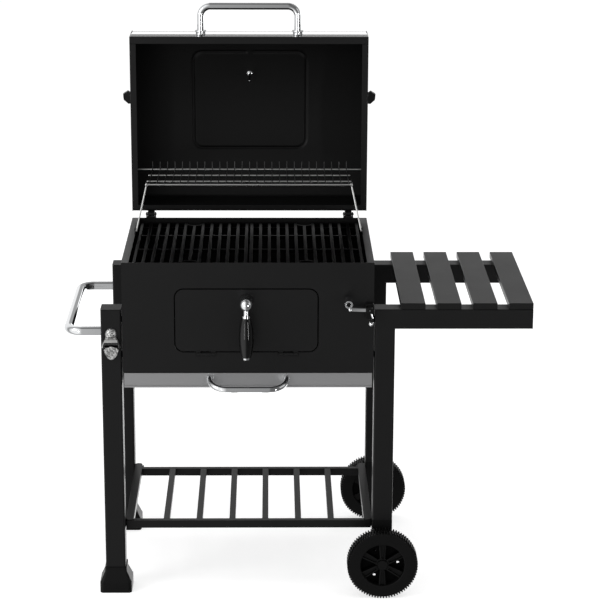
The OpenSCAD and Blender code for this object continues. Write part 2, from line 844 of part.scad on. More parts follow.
// Spindle, ball, neck and collar, with the tongue that turns behind the panel
module door_handle_stem() color(chrome) at_origin() {
    y_rod(spindle_r, door_x, [grip_y, tongue_y[1]], spindle_z);
    y_rod(8, door_x, [grip_y, box_front - 5.5], spindle_z);
    translate([door_x, grip_y, spindle_z]) sphere(16);
    translate([door_x, grip_y, grip_top]) {
        cylinder(h = spindle_z - grip_top, r = 7);
        cylinder(h = 6, r = 10.5);
    }
    translate([door_x, grip_y, grip_low - 1]) cylinder(h = grip_top - grip_low + 2, r = 4);
    translate([door_x, grip_y, grip_low - 5]) cylinder(h = 5, r = 9);
    block([door_x - tongue, door_x + 7], tongue_y, [spindle_z - 7, spindle_z + 7]);
}

module door_handle_grip() color(plastic) at_origin() translate([door_x, grip_y, 0]) {
    mid = (grip_low + grip_top) / 2;
    half = (grip_top - grip_low) / 2;
    big = 185;
    rotate_extrude() difference() {
        intersection() {
            translate([0, grip_low]) square([grip_r, 2 * half]);
            translate([grip_r - big, mid]) circle(big, $fn = 360);
        }
        translate([-1, grip_low - 1]) square([5, 2 * half + 2]);
    }
}

// Lid

// The pressed bead of the roof in plan, grown by g
module emboss_ring(g) translate([0, (emboss_front + emboss_rear) / 2]) difference() {
    long = emboss_rear - emboss_front;
    rounded(2 * (emboss_x + g), long + 2 * g, 30 + g);
    rounded(2 * (emboss_x - emboss_w - g), long - 2 * (emboss_w + g), 30 - emboss_w - g);
    translate([g - 8, -long / 2 - 5]) square([16 - 2 * g, 20]);
}

// That bead between two radii of the roof
module bead(lo, hi, g) intersection() {
    translate([0, 0, roof_z + 400]) linear_extrude(400) emboss_ring(g);
    difference() {
        x_rod(hi, [-200, 200], 0, roof_z, $fn = 360);
        x_rod(lo, [-201, 201], 0, roof_z, $fn = 360);
    }
}

module lid_shell() color(black) at_origin() lid_open() difference() {
    union() {
        along_x([-wall_in, wall_in]) difference() {
            polygon(lid_section(0));
            polygon(concat([[lid_front + sheet, lid_rim - 1]], lid_section(sheet),
                [[lid_rear - sheet, lid_rim - 1]]));
        }
        block([-wall_in, wall_in], [lid_front + sheet / 2, lid_front + lid_flange + 4], [lid_rim, lid_rim + sheet]);
        block([-wall_in, wall_in], [lid_rear - lid_flange, lid_rear - sheet / 2], [lid_rim, lid_rim + sheet]);
        bead(roof_r - sheet / 2, roof_r + emboss_h, sheet);
    }
    bead(roof_r - sheet - 3, roof_r + emboss_h - sheet, 0);
    translate([0, gauge_y, roof_at(gauge_y)]) rotate([gauge_tilt, 0, 0])
        translate([0, 0, -20]) cylinder(h = 40, r = 5);
}

module lid_side() difference() {
    union() {
        along_x([wall_in, box_x]) polygon(lid_section(0));
        block([box_x - lid_flange, wall_in], [lid_front + lid_flange + 4, lid_rear - lid_flange],
            [lid_rim, lid_rim + sheet]);
    }
    translate([wall_in - 1, vent_y, vent_z]) rotate([0, 90, 0]) {
        cylinder(h = 4, r = 3);
        for (a = [60:120:300]) rotate([0, 0, a]) translate([24, 0, 0]) cylinder(h = 4, r = 9);
    }
    x_rod(rod_r + 0.05, [wall_in - 1, box_x + 1], hinge_y - (rack_z - hinge_z), hinge_z + rack_y - hinge_y);
}

module lid_right_side() color(black) at_origin() lid_open() lid_side();

module lid_left_side() color(black) at_origin() lid_open() mirror([1, 0, 0]) lid_side();

module hinge_box_leaves() color(black) at_origin() for (x = hinge_spans) {
    difference() {
        union() {
            block(x, [box_rear, box_rear + 2.5], [box_top - 40, box_top - 4]);
            for (k = [[x[0], x[0] + hinge_end], [x[1] - hinge_end, x[1]]]) {
                x_rod(5.5, k, hinge_y, hinge_z);
                along_x(k) polygon([[box_rear, box_top - 12], [box_rear + 2.5, box_top - 12],
                    [hinge_y + 4, hinge_z - 3], [hinge_y - 3, hinge_z + 1], [box_rear, box_top - 2]]);
            }
        }
        x_rod(pin_r, [x[0] - 1, x[1] + 1], hinge_y, hinge_z);
    }
}

module hinge_lid_leaves() color(black) at_origin() lid_open() for (x = hinge_spans) {
    k = [x[0] + hinge_end + 0.6, x[1] - hinge_end - 0.6];
    difference() {
        union() {
            block(x, [lid_rear, lid_rear + 2.5], [lid_rim + 14, lid_rim + 50]);
            x_rod(5.5, k, hinge_y, hinge_z);
            along_x(k) polygon([[lid_rear, lid_rim + 24], [lid_rear + 2.5, lid_rim + 24],
                [hinge_y + 4, hinge_z + 3], [hinge_y - 3, hinge_z - 1], [lid_rear, lid_rim + 10]]);
        }
        x_rod(pin_r + 0.05, [x[0] - 1, x[1] + 1], hinge_y, hinge_z);
    }
}

module hinge_pins() color(chrome) at_origin() for (x = hinge_spans)
    x_rod(pin_r, [x[0] - 1.5, x[1] + 1.5], hinge_y, hinge_z);

module lid_handle() color(chrome) at_origin() lid_open()
    translate([0, lid_front, lid_handle_z])
        bow(lid_handle_x, lid_handle_reach - lid_handle_r, lid_handle_bend, lid_handle_r, 1.5);

module handle_rosettes() color(chrome) at_origin() lid_open() for (s = [-1, 1]) difference() {
    union() {
        y_rod(13, s * lid_handle_x, [lid_front - 9, lid_front], lid_handle_z);
        y_rod(15.5, s * lid_handle_x, [lid_front - 11.5, lid_front - 8.5], lid_handle_z);
    }
    y_rod(lid_handle_r + 0.05, s * lid_handle_x, [lid_front - 20, lid_front + 1], lid_handle_z);
}

// Thermometer on the roof: cup, dial, needle, glass and the nut inside the lid

module thermometer_case() color(chrome) at_origin() at_gauge() {
    difference() {
        cylinder(h = gauge_h, r = gauge_r);
        translate([0, 0, 3]) cylinder(h = gauge_h, r = gauge_r - 3);
    }
    translate([0, 0, -14]) cylinder(h = 15, r = 5);
    translate([0, 0, -62]) cylinder(h = 50, r = 3);
}

module thermometer_dial() color("white") at_origin() at_gauge() {
    translate([0, 0, 3]) cylinder(h = 2, r = gauge_r - 3);
    translate([0, 0, 4]) cylinder(h = 4, r = 1);
}

module thermometer_needle() color("red") at_origin() at_gauge() difference() {
    union() {
        translate([0, 0, 5.6]) cylinder(h = 2, r = 3);
        rotate([0, 0, 225]) translate([-5, -0.9, 5.9]) cube([25, 1.8, 1.2]);
    }
    translate([0, 0, 5]) cylinder(h = 4, r = 1.05);
}

module thermometer_glass() color("lightblue") at_origin() at_gauge()
    translate([0, 0, gauge_h - 4.5]) cylinder(h = 2, r = gauge_r - 3);

module thermometer_nut() color(chrome) at_origin() at_gauge() difference() {
    translate([0, 0, -sheet - 7.2]) cylinder(h = 7, r = 9, $fn = 6);
    translate([0, 0, -12]) cylinder(h = 20, r = 5);
}

// Side vents

module vent_rivets() color(chrome) at_origin() lid_open() for (s = [0, 1]) mirror([s, 0, 0]) {
    x_rod(3, [wall_in - 2, box_x + 2.6], vent_y, vent_z);
    x_rod(6, [box_x + 2.2, box_x + 4], vent_y, vent_z);
    x_rod(6, [wall_in - 2, wall_in], vent_y, vent_z);
}

// A disc with three round holes and a finger knob
module vent() difference() {
    union() {
        x_rod(vent_r, [box_x + 0.4, box_x + 1.9], vent_y, vent_z);
        vent_tab();
    }
    x_rod(3.05, [box_x, box_x + 3], vent_y, vent_z);
    translate([box_x - 1, vent_y, vent_z]) rotate([0, 90, 0])
        for (a = [60:120:300]) rotate([0, 0, a]) translate([24, 0, 0]) cylinder(h = 4, r = 9);
}

// A chunky knob on the disc's edge that leans out towards the lid's front
module vent_tab()
    translate([box_x, vent_y - 5, vent_z - 41])
        linear_extrude(19)
            polygon([[1, -10], [2.8, -11.3], [8.1, -16.6], [17, -9.2], [16.5, 0], [15.7, 6], [6.8, 16.3],
                [2, 15.3], [1, 14]]);

module vent_right() color(black) at_origin() lid_open() vent();

module vent_left() color(black) at_origin() lid_open() mirror([1, 0, 0]) vent();

// Warming rack

module warming_rack() color(chrome) at_origin() {
    x_rod(rod_r, [-box_x - 2, box_x + 2], rack_y, rack_z);
    for (y = [208.7, 139]) x_rod(2, [-263, 263], y, rack_z, $fn = 12);
    x_rod(rod_r, [-leg_head_x - 4, leg_head_x + 4], rack_front, rack_z);
    for (i = [0:rack_wires - 1]) {
        x = -rack_x + 2 * rack_x * i / (rack_wires - 1);
        y_rod(wire_r, x, [rack_front, rack_y + wire_r], rack_z + 2, $fn = 6);
        translate([x, rack_y, rack_z]) cylinder(h = wire_tip, r = wire_r, $fn = 6);
    }
}

// A leg of the warming rack on the +X side: eye on the front rod, slanted wire and foot pin
module rack_leg() difference() {
    union() {
        x_rod(5.5, [leg_head_x - 2, leg_head_x + 2], rack_front, rack_z);
        rod_between([leg_head_x, rack_front, rack_z], [leg_foot_x, leg_foot_y, leg_foot_z], rod_r + 0.2);
        x_rod(rod_r, [leg_foot_x - 1.8, ear_x + sheet + 0.2], leg_foot_y, leg_foot_z);
    }
    x_rod(rod_r + 0.35, [leg_head_x - 10, leg_head_x + 10], rack_front, rack_z);
}

module rack_leg_right() color(chrome) at_origin() rack_leg();

module rack_leg_left() color(chrome) at_origin() mirror([1, 0, 0]) rack_leg();

left_front_leg();
left_rear_leg();
right_front_frame();
right_rear_frame();
tube_caps();
feet();
axle_blocks();
axle();
axle_caps();
shelf_rails();
shelf_end_bars();
shelf_slats();
table_slats();
table_screws();
frame_bolts();
side_handle();
bottle_opener();
firebox_front();
firebox_left();
firebox_right();
firebox_rear();
grate_ledges();
drawer_runners();
crank_bracket();
crank_rear_bush();
bracket_bolts();
pan_guides();
hinge_box_leaves();
hinge_pins();
door_hinge_pins();
lid_shell();
lid_left_side();
lid_right_side();
hinge_lid_leaves();
lid_handle();
handle_rosettes();
thermometer_case();
thermometer_dial();
thermometer_glass();
thermometer_nut();
thermometer_needle();
vent_rivets();
vent_left();
vent_right();
warming_rack();
rack_leg_left();
rack_leg_right();
charcoal_door();
door_handle_stem();
door_handle_grip();
drawer_tray();
drawer_front();
drawer_handle();
crank_lever();
charcoal_pan();
front_wheel();
rear_wheel();
left_grate();
right_grate();
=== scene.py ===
"""Looks of the trolley charcoal grill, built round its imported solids."""

from __future__ import annotations

import json
import logging
import math
from collections.abc import Callable
from dataclasses import dataclass, field
from enum import Enum
from functools import cache

import bmesh
import bpy
from bmesh.types import BMEdge, BMesh, BMFace, BMVert
from bpy.types import Material, Mesh, MeshPolygon, Node, NodeSocket, NodeTree, Object
from mathutils import Matrix, Vector


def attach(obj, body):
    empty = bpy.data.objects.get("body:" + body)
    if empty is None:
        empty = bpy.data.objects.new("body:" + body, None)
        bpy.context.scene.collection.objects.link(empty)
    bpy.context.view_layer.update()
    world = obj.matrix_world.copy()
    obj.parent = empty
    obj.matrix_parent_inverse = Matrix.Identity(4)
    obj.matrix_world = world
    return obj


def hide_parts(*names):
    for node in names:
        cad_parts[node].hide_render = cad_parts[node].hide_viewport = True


LOG = logging.getLogger("grill")
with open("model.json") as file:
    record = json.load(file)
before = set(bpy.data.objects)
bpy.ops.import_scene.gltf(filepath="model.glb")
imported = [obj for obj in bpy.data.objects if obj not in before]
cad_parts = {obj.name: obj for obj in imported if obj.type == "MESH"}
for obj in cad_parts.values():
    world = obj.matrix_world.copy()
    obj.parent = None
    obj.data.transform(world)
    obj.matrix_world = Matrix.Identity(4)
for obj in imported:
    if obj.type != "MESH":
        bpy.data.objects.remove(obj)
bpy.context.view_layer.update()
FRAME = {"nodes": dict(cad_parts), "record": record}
BODY_OF = {node: body for body, nodes in FRAME["record"]["behaviour"]["bodies"].items() for node in nodes}
SLOT_OF = {entry["node"]: entry["material_slot"] for entry in FRAME["record"]["subparts"]}

MM = 0.001
TROLLEY_MIDDLE = Vector((122.0, 69.0873, 0.0)) * MM
HINGE_Y, HINGE_Z = 227.5, 867.5

Flat = tuple[float, float]
Spot = tuple[float, float, float]
Pick = Callable[[MeshPolygon], int]
Takes = dict[str | int, object]
Sockets = dict[str, tuple[str, object]]
Group = tuple[NodeTree, bpy.types.bpy_prop_collection, Node]


def place(x: float, y: float, z: float) -> Vector:
    """Point of the part's frame, given in millimetres from the ground amid the trolley's legs."""
    return Vector((x, y, z)) * MM - TROLLEY_MIDDLE


def open_lid(x: float, y: float, z: float) -> Vector:
    """Point of the part's frame on the open lid, given as it lies when the lid is closed."""
    return place(x, HINGE_Y + z - HINGE_Z, HINGE_Z + HINGE_Y - y)


class Axis(Enum):
    """Direction that a turned piece's own axis takes in the part."""

    FORWARD = Matrix.Rotation(math.radians(90), 4, "X")
    BACKWARD = Matrix.Rotation(math.radians(-90), 4, "X")


# Node trees


def feed(tree: NodeTree, node: Node, takes: Takes) -> None:
    """Set or link inputs of a node.

    Args:
        tree: The node's tree.
        node: The node.
        takes: Value, or socket to link, for each input by name or number.
    """
    for key, value in takes.items():
        if isinstance(value, NodeSocket):
            tree.links.new(value, node.inputs[key])
        else:
            node.inputs[key].default_value = value


def add_node(tree: NodeTree, kind: str, takes: Takes | None = None, **settings: object) -> Node:
    """Add a node to a tree.

    Args:
        tree: The tree.
        kind: Blender's name of the node's type.
        takes: Value, or socket to link, for each input by name or number.
        settings: The node's own properties.

    Returns:
        The node.
    """
    node = tree.nodes.new(kind)
    for name, value in settings.items():
        setattr(node, name, value)
    feed(tree, node, takes or {})
    return node


def maths(tree: NodeTree, operation: str, *terms: float | NodeSocket) -> NodeSocket:
    """Result of a Math node on values or sockets."""
    return add_node(tree, "ShaderNodeMath", dict(enumerate(terms)), operation=operation).outputs[0]


def ramp(tree: NodeTree, value: NodeSocket, span: Flat, out: Flat) -> NodeSocket:
    """Smooth ramp of a value, from one result at the span's start to another at its end."""
    takes = {"Value": value, "From Min": span[0], "From Max": span[1], "To Min": out[0], "To Max": out[1]}
    return add_node(tree, "ShaderNodeMapRange", takes, interpolation_type="SMOOTHSTEP").outputs[0]


def new_group(name: str, kind: str, takes: Sockets, gives: dict[str, str]) -> Group:
    """Make a node group with its sockets.

    Args:
        name: Name of the group.
        kind: Blender's type of the tree.
        takes: Type and default of each input.
        gives: Type of each output.

    Returns:
        The group, the sockets of its inputs, and the node that takes its results.
    """
    tree = bpy.data.node_groups.new(name, kind)
    for label, (sort, value) in takes.items():
        made = tree.interface.new_socket(label, in_out="INPUT", socket_type="NodeSocket" + sort)
        if value is not None:
            made.default_value = value
    for label, sort in gives.items():
        tree.interface.new_socket(label, in_out="OUTPUT", socket_type="NodeSocket" + sort)
    return tree, tree.nodes.new("NodeGroupInput").outputs, tree.nodes.new("NodeGroupOutput")


# Finishes


@cache
def grain_group() -> NodeTree:
    """Group for the fine grain and broad unevenness of a coated or moulded surface.

    Returns:
        The node group.
    """
    takes = {
        "Vector": ("Vector", None), "Fine": ("Float", 900.0), "Broad": ("Float", 9.0),
        "Roughness": ("Float", 0.4), "Spread": ("Float", 0.1),
    }
    tree, given, put = new_group(
        "surface_grain", "ShaderNodeTree", takes, {"Roughness": "Float", "Height": "Float"}
    )
    noise = "ShaderNodeTexNoise"
    fine = add_node(tree, noise, {"Vector": given["Vector"], "Scale": given["Fine"], "Detail": 2.0})
    broad = add_node(tree, noise, {"Vector": given["Vector"], "Scale": given["Broad"], "Detail": 5.0})
    centred = maths(tree, "SUBTRACT", broad.outputs["Fac"], 0.5)
    uneven = maths(tree, "MULTIPLY_ADD", centred, given["Spread"], given["Roughness"])
    feed(tree, put, {"Roughness": uneven, "Height": fine.outputs["Fac"]})
    return tree


def tint_group(name: str, tint: Spot, more: Sockets) -> Group:
    """Start a group that mixes a tint into a colour.

    Args:
        name: Name of the group.
        tint: Colour of the tint.
        more: Further inputs.

    Returns:
        The group, the sockets of its inputs, and the mixing node.
    """
    takes = {"Vector": ("Vector", None), "Color": ("Color", (0.1, 0.1, 0.1, 1.0)), "Amount": ("Float", 0.1)}
    tree, given, put = new_group(name, "ShaderNodeTree", {**takes, **more}, {"Color": "Color"})
    colours = {"A": given["Color"], "B": (*tint, 1.0)}
    mixed = add_node(tree, "ShaderNodeMix", colours, data_type="RGBA")
    feed(tree, put, {"Color": mixed.outputs["Result"]})
    return tree, given, mixed


@cache
def dust_group() -> NodeTree:
    """Group for faint dust that settles on faces that look up.

    Returns:
        The node group.
    """
    tree, given, mixed = tint_group("settled_dust", (0.22, 0.21, 0.2), {})
    normal = add_node(tree, "ShaderNodeNewGeometry").outputs["Normal"]
    height = add_node(tree, "ShaderNodeSeparateXYZ", {0: normal}).outputs["Z"]
    upward = add_node(tree, "ShaderNodeMapRange", {"Value": height, "From Min": 0.5, "From Max": 1.0})
    noise = add_node(tree, "ShaderNodeTexNoise", {"Vector": given["Vector"], "Scale": 60.0, "Detail": 6.0})
    patches = maths(tree, "MULTIPLY", upward.outputs[0], noise.outputs["Fac"])
    feed(tree, mixed, {"Factor": maths(tree, "MULTIPLY", patches, given["Amount"])})
    return tree


@cache
def blotch_group() -> NodeTree:
    """Group for the dark blotches of a rough bright casting.

    Returns:
        The node group.
    """
    tree, given, mixed = tint_group("dark_blotches", grey(0.02), {"Scale": ("Float", 300.0)})
    takes = {"Vector": given["Vector"], "Scale": given["Scale"], "Detail": 1.0}
    noise = add_node(tree, "ShaderNodeTexNoise", takes).outputs["Fac"]
    spots = add_node(tree, "ShaderNodeMapRange", {"Value": noise, "From Min": 0.62, "From Max": 0.4})
    feed(tree, mixed, {"Factor": maths(tree, "MULTIPLY", spots.outputs[0], given["Amount"])})
    return tree


def grey(level: float) -> Spot:
    """Neutral colour of a level."""
    return (level, level, level)


@dataclass(frozen=True)
class Finish:
    """A surface finish with grain, unevenness and a little dust.

    Attributes:
        name: Name of the material.
        colour: Base colour, linear.
        roughness: Mean roughness.
        metallic: 1 for bare metal.
        specular: Specular level of a coat.
        fine: Grains per metre.
        spread: Range of the roughness.
        bump: Height of the grain in metres.
        dust: Share of dust on faces that look up.
        stretch: Scale of the grain along each axis.
        coat: Weight of a clear glossy layer.
        clear: Transmission weight of glass.
        blotch: Weight of dark blotches.
    """

    name: str
    colour: Spot
    roughness: float
    metallic: float = 0.0
    specular: float = 0.5
    fine: float = 900.0
    spread: float = 0.1
    bump: float = 0.00004
    dust: float = 0.0
    stretch: Spot = (1.0, 1.0, 1.0)
    coat: float = 0.0
    clear: float = 0.0
    blotch: float = 0.0

    @cache
    def material(self) -> Material:
        """The finish as a Blender material, made once.

        Returns:
            The material.
        """
        made = bpy.data.materials.new(self.name)
        made.use_nodes = True
        tree = made.node_tree
        shader = tree.nodes["Principled BSDF"]
        colour = (*self.colour, 1.0)
        plain = {"Metallic": self.metallic, "Specular IOR Level": self.specular, "Coat Weight": self.coat}
        feed(tree, shader, {**plain, "Base Color": colour})
        if self.clear:
            feed(tree, shader, {"Transmission Weight": self.clear, "Roughness": self.roughness})
            return made
        where = add_node(tree, "ShaderNodeTexCoord").outputs["Object"]
        spot = add_node(tree, "ShaderNodeMapping", {"Vector": where, "Scale": self.stretch}).outputs[0]
        takes = {"Vector": spot, "Fine": self.fine, "Roughness": self.roughness, "Spread": self.spread}
        grain = add_node(tree, "ShaderNodeGroup", takes, node_tree=grain_group()).outputs
        takes = {"Height": grain["Height"], "Distance": self.bump, "Strength": 1.0}
        bump = add_node(tree, "ShaderNodeBump", takes)
        feed(tree, shader, {"Roughness": grain["Roughness"], "Normal": bump.outputs["Normal"]})
        tints = ((self.dust, dust_group, {}), (self.blotch, blotch_group, {"Scale": self.fine}))
        for amount, group, more in tints:
            if amount:
                takes = {"Vector": spot, "Color": colour, "Amount": amount, **more}
                tint = add_node(tree, "ShaderNodeGroup", takes, node_tree=group())
                feed(tree, shader, {"Base Color": tint.outputs["Color"]})
        return made


SATIN_PAINT = Finish("satin_coat", (0.01, 0.01, 0.0102), 0.36, specular=0.2, fine=1400.0, dust=0.02)
ENAMEL = Finish("lid_enamel", (0.004, 0.004, 0.0042), 0.14, fine=600.0, bump=0.00001, spread=0.06, coat=0.6)
HEAT_PAINT = Finish("matt_coat", grey(0.0055), 0.46, specular=0.18, spread=0.15)
CAST_IRON = Finish("grate_casting", grey(0.0008), 0.34, specular=0.05, fine=500.0, bump=0.0001, spread=0.2)
OPENER = Finish(
    "opener_casting", (0.74, 0.74, 0.73), 0.36, 1.0, fine=260.0, bump=0.0008, spread=0.3, blotch=0.7
)
# Painted shade: dark copy of the opener's casting for its hood's front and its right flank, where shade
# falls.
OPENER_SHADE = Finish("opener_painted_shade", grey(0.035), 0.4, 0.5, specular=0.3, fine=210.0, spread=0.2)
# Painted light: lighter copy of the opener's casting for its brow and its left flank, which face the light.
OPENER_LIT = Finish("opener_painted_light", (0.62, 0.62, 0.61), 0.4, 1.0, fine=260.0, bump=0.0001, spread=0.2)
# Painted shade: near-black finish for the wheels' recesses and for the opener's mouth and the slot under
# its dome.
PAINTED_SHADE = Finish("painted_shade", grey(0.0015), 0.6, specular=0.05)
# On the wheels' raised flats this lighter moulding is painted light against the darker wheel moulding.
MOULDED = Finish("moulded_plastic", grey(0.0065), 0.42, specular=0.12, fine=1100.0, bump=0.00005)
WHEEL = Finish("wheel_moulding", grey(0.005), 0.45, specular=0.12, bump=0.00005)
CHROME = Finish("chrome_plate", (0.74, 0.75, 0.76), 0.07, 1.0, fine=700.0, bump=0.000003, spread=0.05)
ZINC = Finish("zinc_plate", (0.62, 0.62, 0.61), 0.3, 1.0, fine=700.0, bump=0.00002, spread=0.15)
WIRE = Finish("rack_wire", grey(0.12), 0.4, 1.0, fine=700.0, bump=0.00002, spread=0.15)
SILVER = Finish("silver_coat", (0.39, 0.39, 0.395), 0.42, 0.8, bump=0.00002, stretch=(0.06, 1.0, 1.0))
GRIP = Finish("grip_gloss", grey(0.003), 0.09, specular=0.4, fine=700.0, bump=0.00001)
DIAL = Finish("dial_face", (0.75, 0.75, 0.72), 0.5, bump=0.00001)
PRINT = Finish("dial_print", grey(0.01), 0.5, bump=0.00001)
NEEDLE = Finish("needle_red", (0.5, 0.02, 0.015), 0.4)
GLASS = Finish("gauge_glass", (0.95, 0.97, 0.97), 0.02, clear=1.0)

FINISH_OF_SLOT = {
    "frame_paint": SATIN_PAINT,
    "chrome": CHROME,
    "black_plastic": MOULDED,
    "wheel_plastic": WHEEL,
    "zinc": ZINC,
    "cast_iron": CAST_IRON,
    "heat_paint": HEAT_PAINT,
    "grip": GRIP,
    "drawer_silver": SILVER,
    "dial": DIAL,
    "needle": NEEDLE,
    "glass": GLASS,
}


def dress_solids() -> None:
    """Give every carried-over solid the finish of its slot."""
    for node, slot in SLOT_OF.items():
        solid = FRAME["nodes"][node]
        solid.data.materials.clear()
        solid.data.materials.append(FINISH_OF_SLOT[slot].material())


# Pieces, with the angles in degrees from which an edge counts as hard or stays sharp

HARD_EDGE = 35.0
ROUNDED_EDGE = 50.0
PLAIN_EDGE = 38.0


def new_piece(name: str, mesh: Mesh) -> Object:
    """Put a mesh into the scene as a piece at the origin.

    Args:
        name: Name of the piece.
        mesh: Its mesh, in the part's frame.

    Returns:
        The new object.
    """
    mesh.name = name
    piece = bpy.data.objects.new(name, mesh)
    bpy.context.scene.collection.objects.link(piece)
    return piece


def evaluated(piece: Object) -> None:
    """Replace a piece's mesh by what its modifiers make of it, and remove them.

    Args:
        piece: The piece.
    """
    bpy.context.view_layer.update()
    graph = bpy.context.evaluated_depsgraph_get()
    made = bpy.data.meshes.new_from_object(piece.evaluated_get(graph))
    piece.modifiers.clear()
    piece.data = made


def taken_out(piece: Object) -> Mesh:
    """Evaluate a helper object, remove it and keep its mesh.

    Args:
        piece: The helper.

    Returns:
        The mesh.
    """
    evaluated(piece)
    mesh = piece.data
    bpy.data.objects.remove(piece)
    return mesh


def even_shading(piece: Object, crease: float) -> None:
    """Shade a piece smoothly, with flat faces kept flat and sharp edges kept sharp.

    Args:
        piece: The piece.
        crease: Angle in degrees from which an edge stays sharp.
    """
    piece.data.shade_smooth()
    piece.data.set_sharp_from_angle(angle=math.radians(crease))
    weigh = piece.modifiers.new("even_shading", "WEIGHTED_NORMAL")
    weigh.keep_sharp = True
    weigh.weight = 60
    evaluated(piece)


def finished(
    name: str, mesh: Mesh, finishes: tuple[Finish, ...], body: str, slot: str, *nodes: str,
    crease: float | None = PLAIN_EDGE, pick: Pick | None = None,
) -> Object:
    """Make a piece of a mesh, dress it, and let it ride on its body and stand for its solids.

    Args:
        name: Name of the piece.
        mesh: Its mesh, in the part's frame.
        finishes: Its finishes.
        body: Body that it rides on.
        slot: Slot of the record that its finish belongs to; not used.
        nodes: Solids that it stands for.
        crease: Angle in degrees from which an edge stays sharp, None for flat faces.
        pick: Rule for the finish of a face, None where the faces have theirs.

    Returns:
        The piece.
    """
    piece = new_piece(name, mesh)
    for finish in finishes:
        mesh.materials.append(finish.material())
    if pick:
        for face in mesh.polygons:
            face.material_index = pick(face)
    if crease is not None:
        even_shading(piece, crease)
    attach(piece, body)
    if nodes:
        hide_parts(*nodes)
    LOG.info("%s rides on %s, %d faces", piece.name, body, len(piece.data.polygons))
    return piece


def stand_in(name: str, mesh: Mesh, node: str, *finishes: Finish, **how: object) -> Object:
    """Make the piece that stands for one solid, on its body."""
    return finished(name, mesh, finishes, BODY_OF[node], SLOT_OF[node], node, **how)


# Mesh tools


def skin(shape: BMesh, rings: list[list[BMVert]], caps: bool = True) -> list[BMFace]:
    """Make the faces between successive rings of vertices.

    Args:
        shape: The shape that holds them.
        rings: The rings, all of one length.
        caps: True to close the first and the last ring.

    Returns:
        The new faces.
    """
    faces = []
    n = len(rings[0])
    for low, high in zip(rings, rings[1:]):
        for k in range(n):
            faces.append(shape.faces.new((low[k], low[(k + 1) % n], high[(k + 1) % n], high[k])))
    if caps:
        faces += [shape.faces.new(list(reversed(rings[0]))), shape.faces.new(rings[-1])]
    return faces


def outward(shape: BMesh) -> BMesh:
    """Turn a closed shape's faces outwards.

    Args:
        shape: The shape, closed and wound in one sense.

    Returns:
        The same shape.
    """
    if shape.calc_volume(signed=True) < 0:
        bmesh.ops.reverse_faces(shape, faces=shape.faces)
    return shape


def to_mesh(shape: BMesh) -> Mesh:
    """Turn a bmesh into a mesh and free it.

    Args:
        shape: The bmesh.

    Returns:
        The mesh.
    """
    mesh = bpy.data.meshes.new("shape")
    shape.to_mesh(mesh)
    shape.free()
    return mesh


def joined(*meshes: Mesh) -> Mesh:
    """One mesh out of several.

    Args:
        meshes: The meshes.

    Returns:
        The joined mesh.
    """
    shape = bmesh.new()
    for mesh in meshes:
        shape.from_mesh(mesh)
    return to_mesh(shape)


def hard_edges(shape: BMesh, angle: float, least: float = 0.0) -> list[BMEdge]:
    """Edges longer than the least where two faces meet at more than an angle in radians."""
    closed = [e for e in shape.edges if len(e.link_faces) == 2]
    return [e for e in closed if e.calc_face_angle(0.0) > angle and e.calc_length() > least]


def round_off(shape: BMesh, edges: list[BMEdge], width: float) -> None:
    """Round edges of a shape off, by a width in metres."""
    bmesh.ops.bevel(
        shape, geom=edges, offset=width, offset_type="OFFSET", segments=2, profile=0.5,
        affect="EDGES", clamp_overlap=True,
    )


def soft_copy(
    node: str, edge: float = 0.0, *finishes: Finish,
    shaped: Callable[[Mesh], None] | None = None, pick: Pick | None = None,
) -> Object:
    """Make a copy of a solid with its hard edges rounded off, and let it stand for the solid.

    Args:
        node: The solid.
        edge: Width of the rounding in millimetres, 0 for none.
        finishes: Its finishes, none for that of its slot.
        shaped: Change to the copy's mesh before it is dressed.
        pick: Rule for the finish of a face.

    Returns:
        The piece.
    """
    shape = bmesh.new()
    shape.from_mesh(FRAME["nodes"][node].data)
    bmesh.ops.remove_doubles(shape, verts=shape.verts, dist=1e-5)
    bmesh.ops.dissolve_limit(shape, angle_limit=math.radians(0.5), verts=shape.verts, edges=shape.edges)
    if edge:
        width = edge * MM
        round_off(shape, hard_edges(shape, math.radians(HARD_EDGE), least=1.6 * width), width)
    mesh = to_mesh(shape)
    if shaped:
        shaped(mesh)
    finishes = finishes or (FINISH_OF_SLOT[SLOT_OF[node]],)
    crease = ROUNDED_EDGE if edge else HARD_EDGE
    return stand_in(node + "_soft", mesh, node, *finishes, crease=crease, pick=pick)


def bent_path(corners: list[Vector], bend: float, steps: int = 14) -> list[Vector]:
    """Path through corners with each inner corner rounded.

    Args:
        corners: The corners.
        bend: Radius of the rounding in millimetres.
        steps: Points in each bend.

    Returns:
        Points of the path.
    """
    radius = bend * MM
    path = [corners[0]]
    for before, here, after in zip(corners, corners[1:], corners[2:]):
        back, ahead = (before - here).normalized(), (after - here).normalized()
        half = back.angle(ahead) / 2
        reach = radius / math.tan(half)
        middle = here + (back + ahead).normalized() * (radius / math.sin(half))
        start, end = here + back * reach - middle, here + ahead * reach - middle
        for i in range(steps + 1):
            path.append(middle + start.normalized().slerp(end.normalized(), i / steps) * radius)
    path.append(corners[-1])
    return path


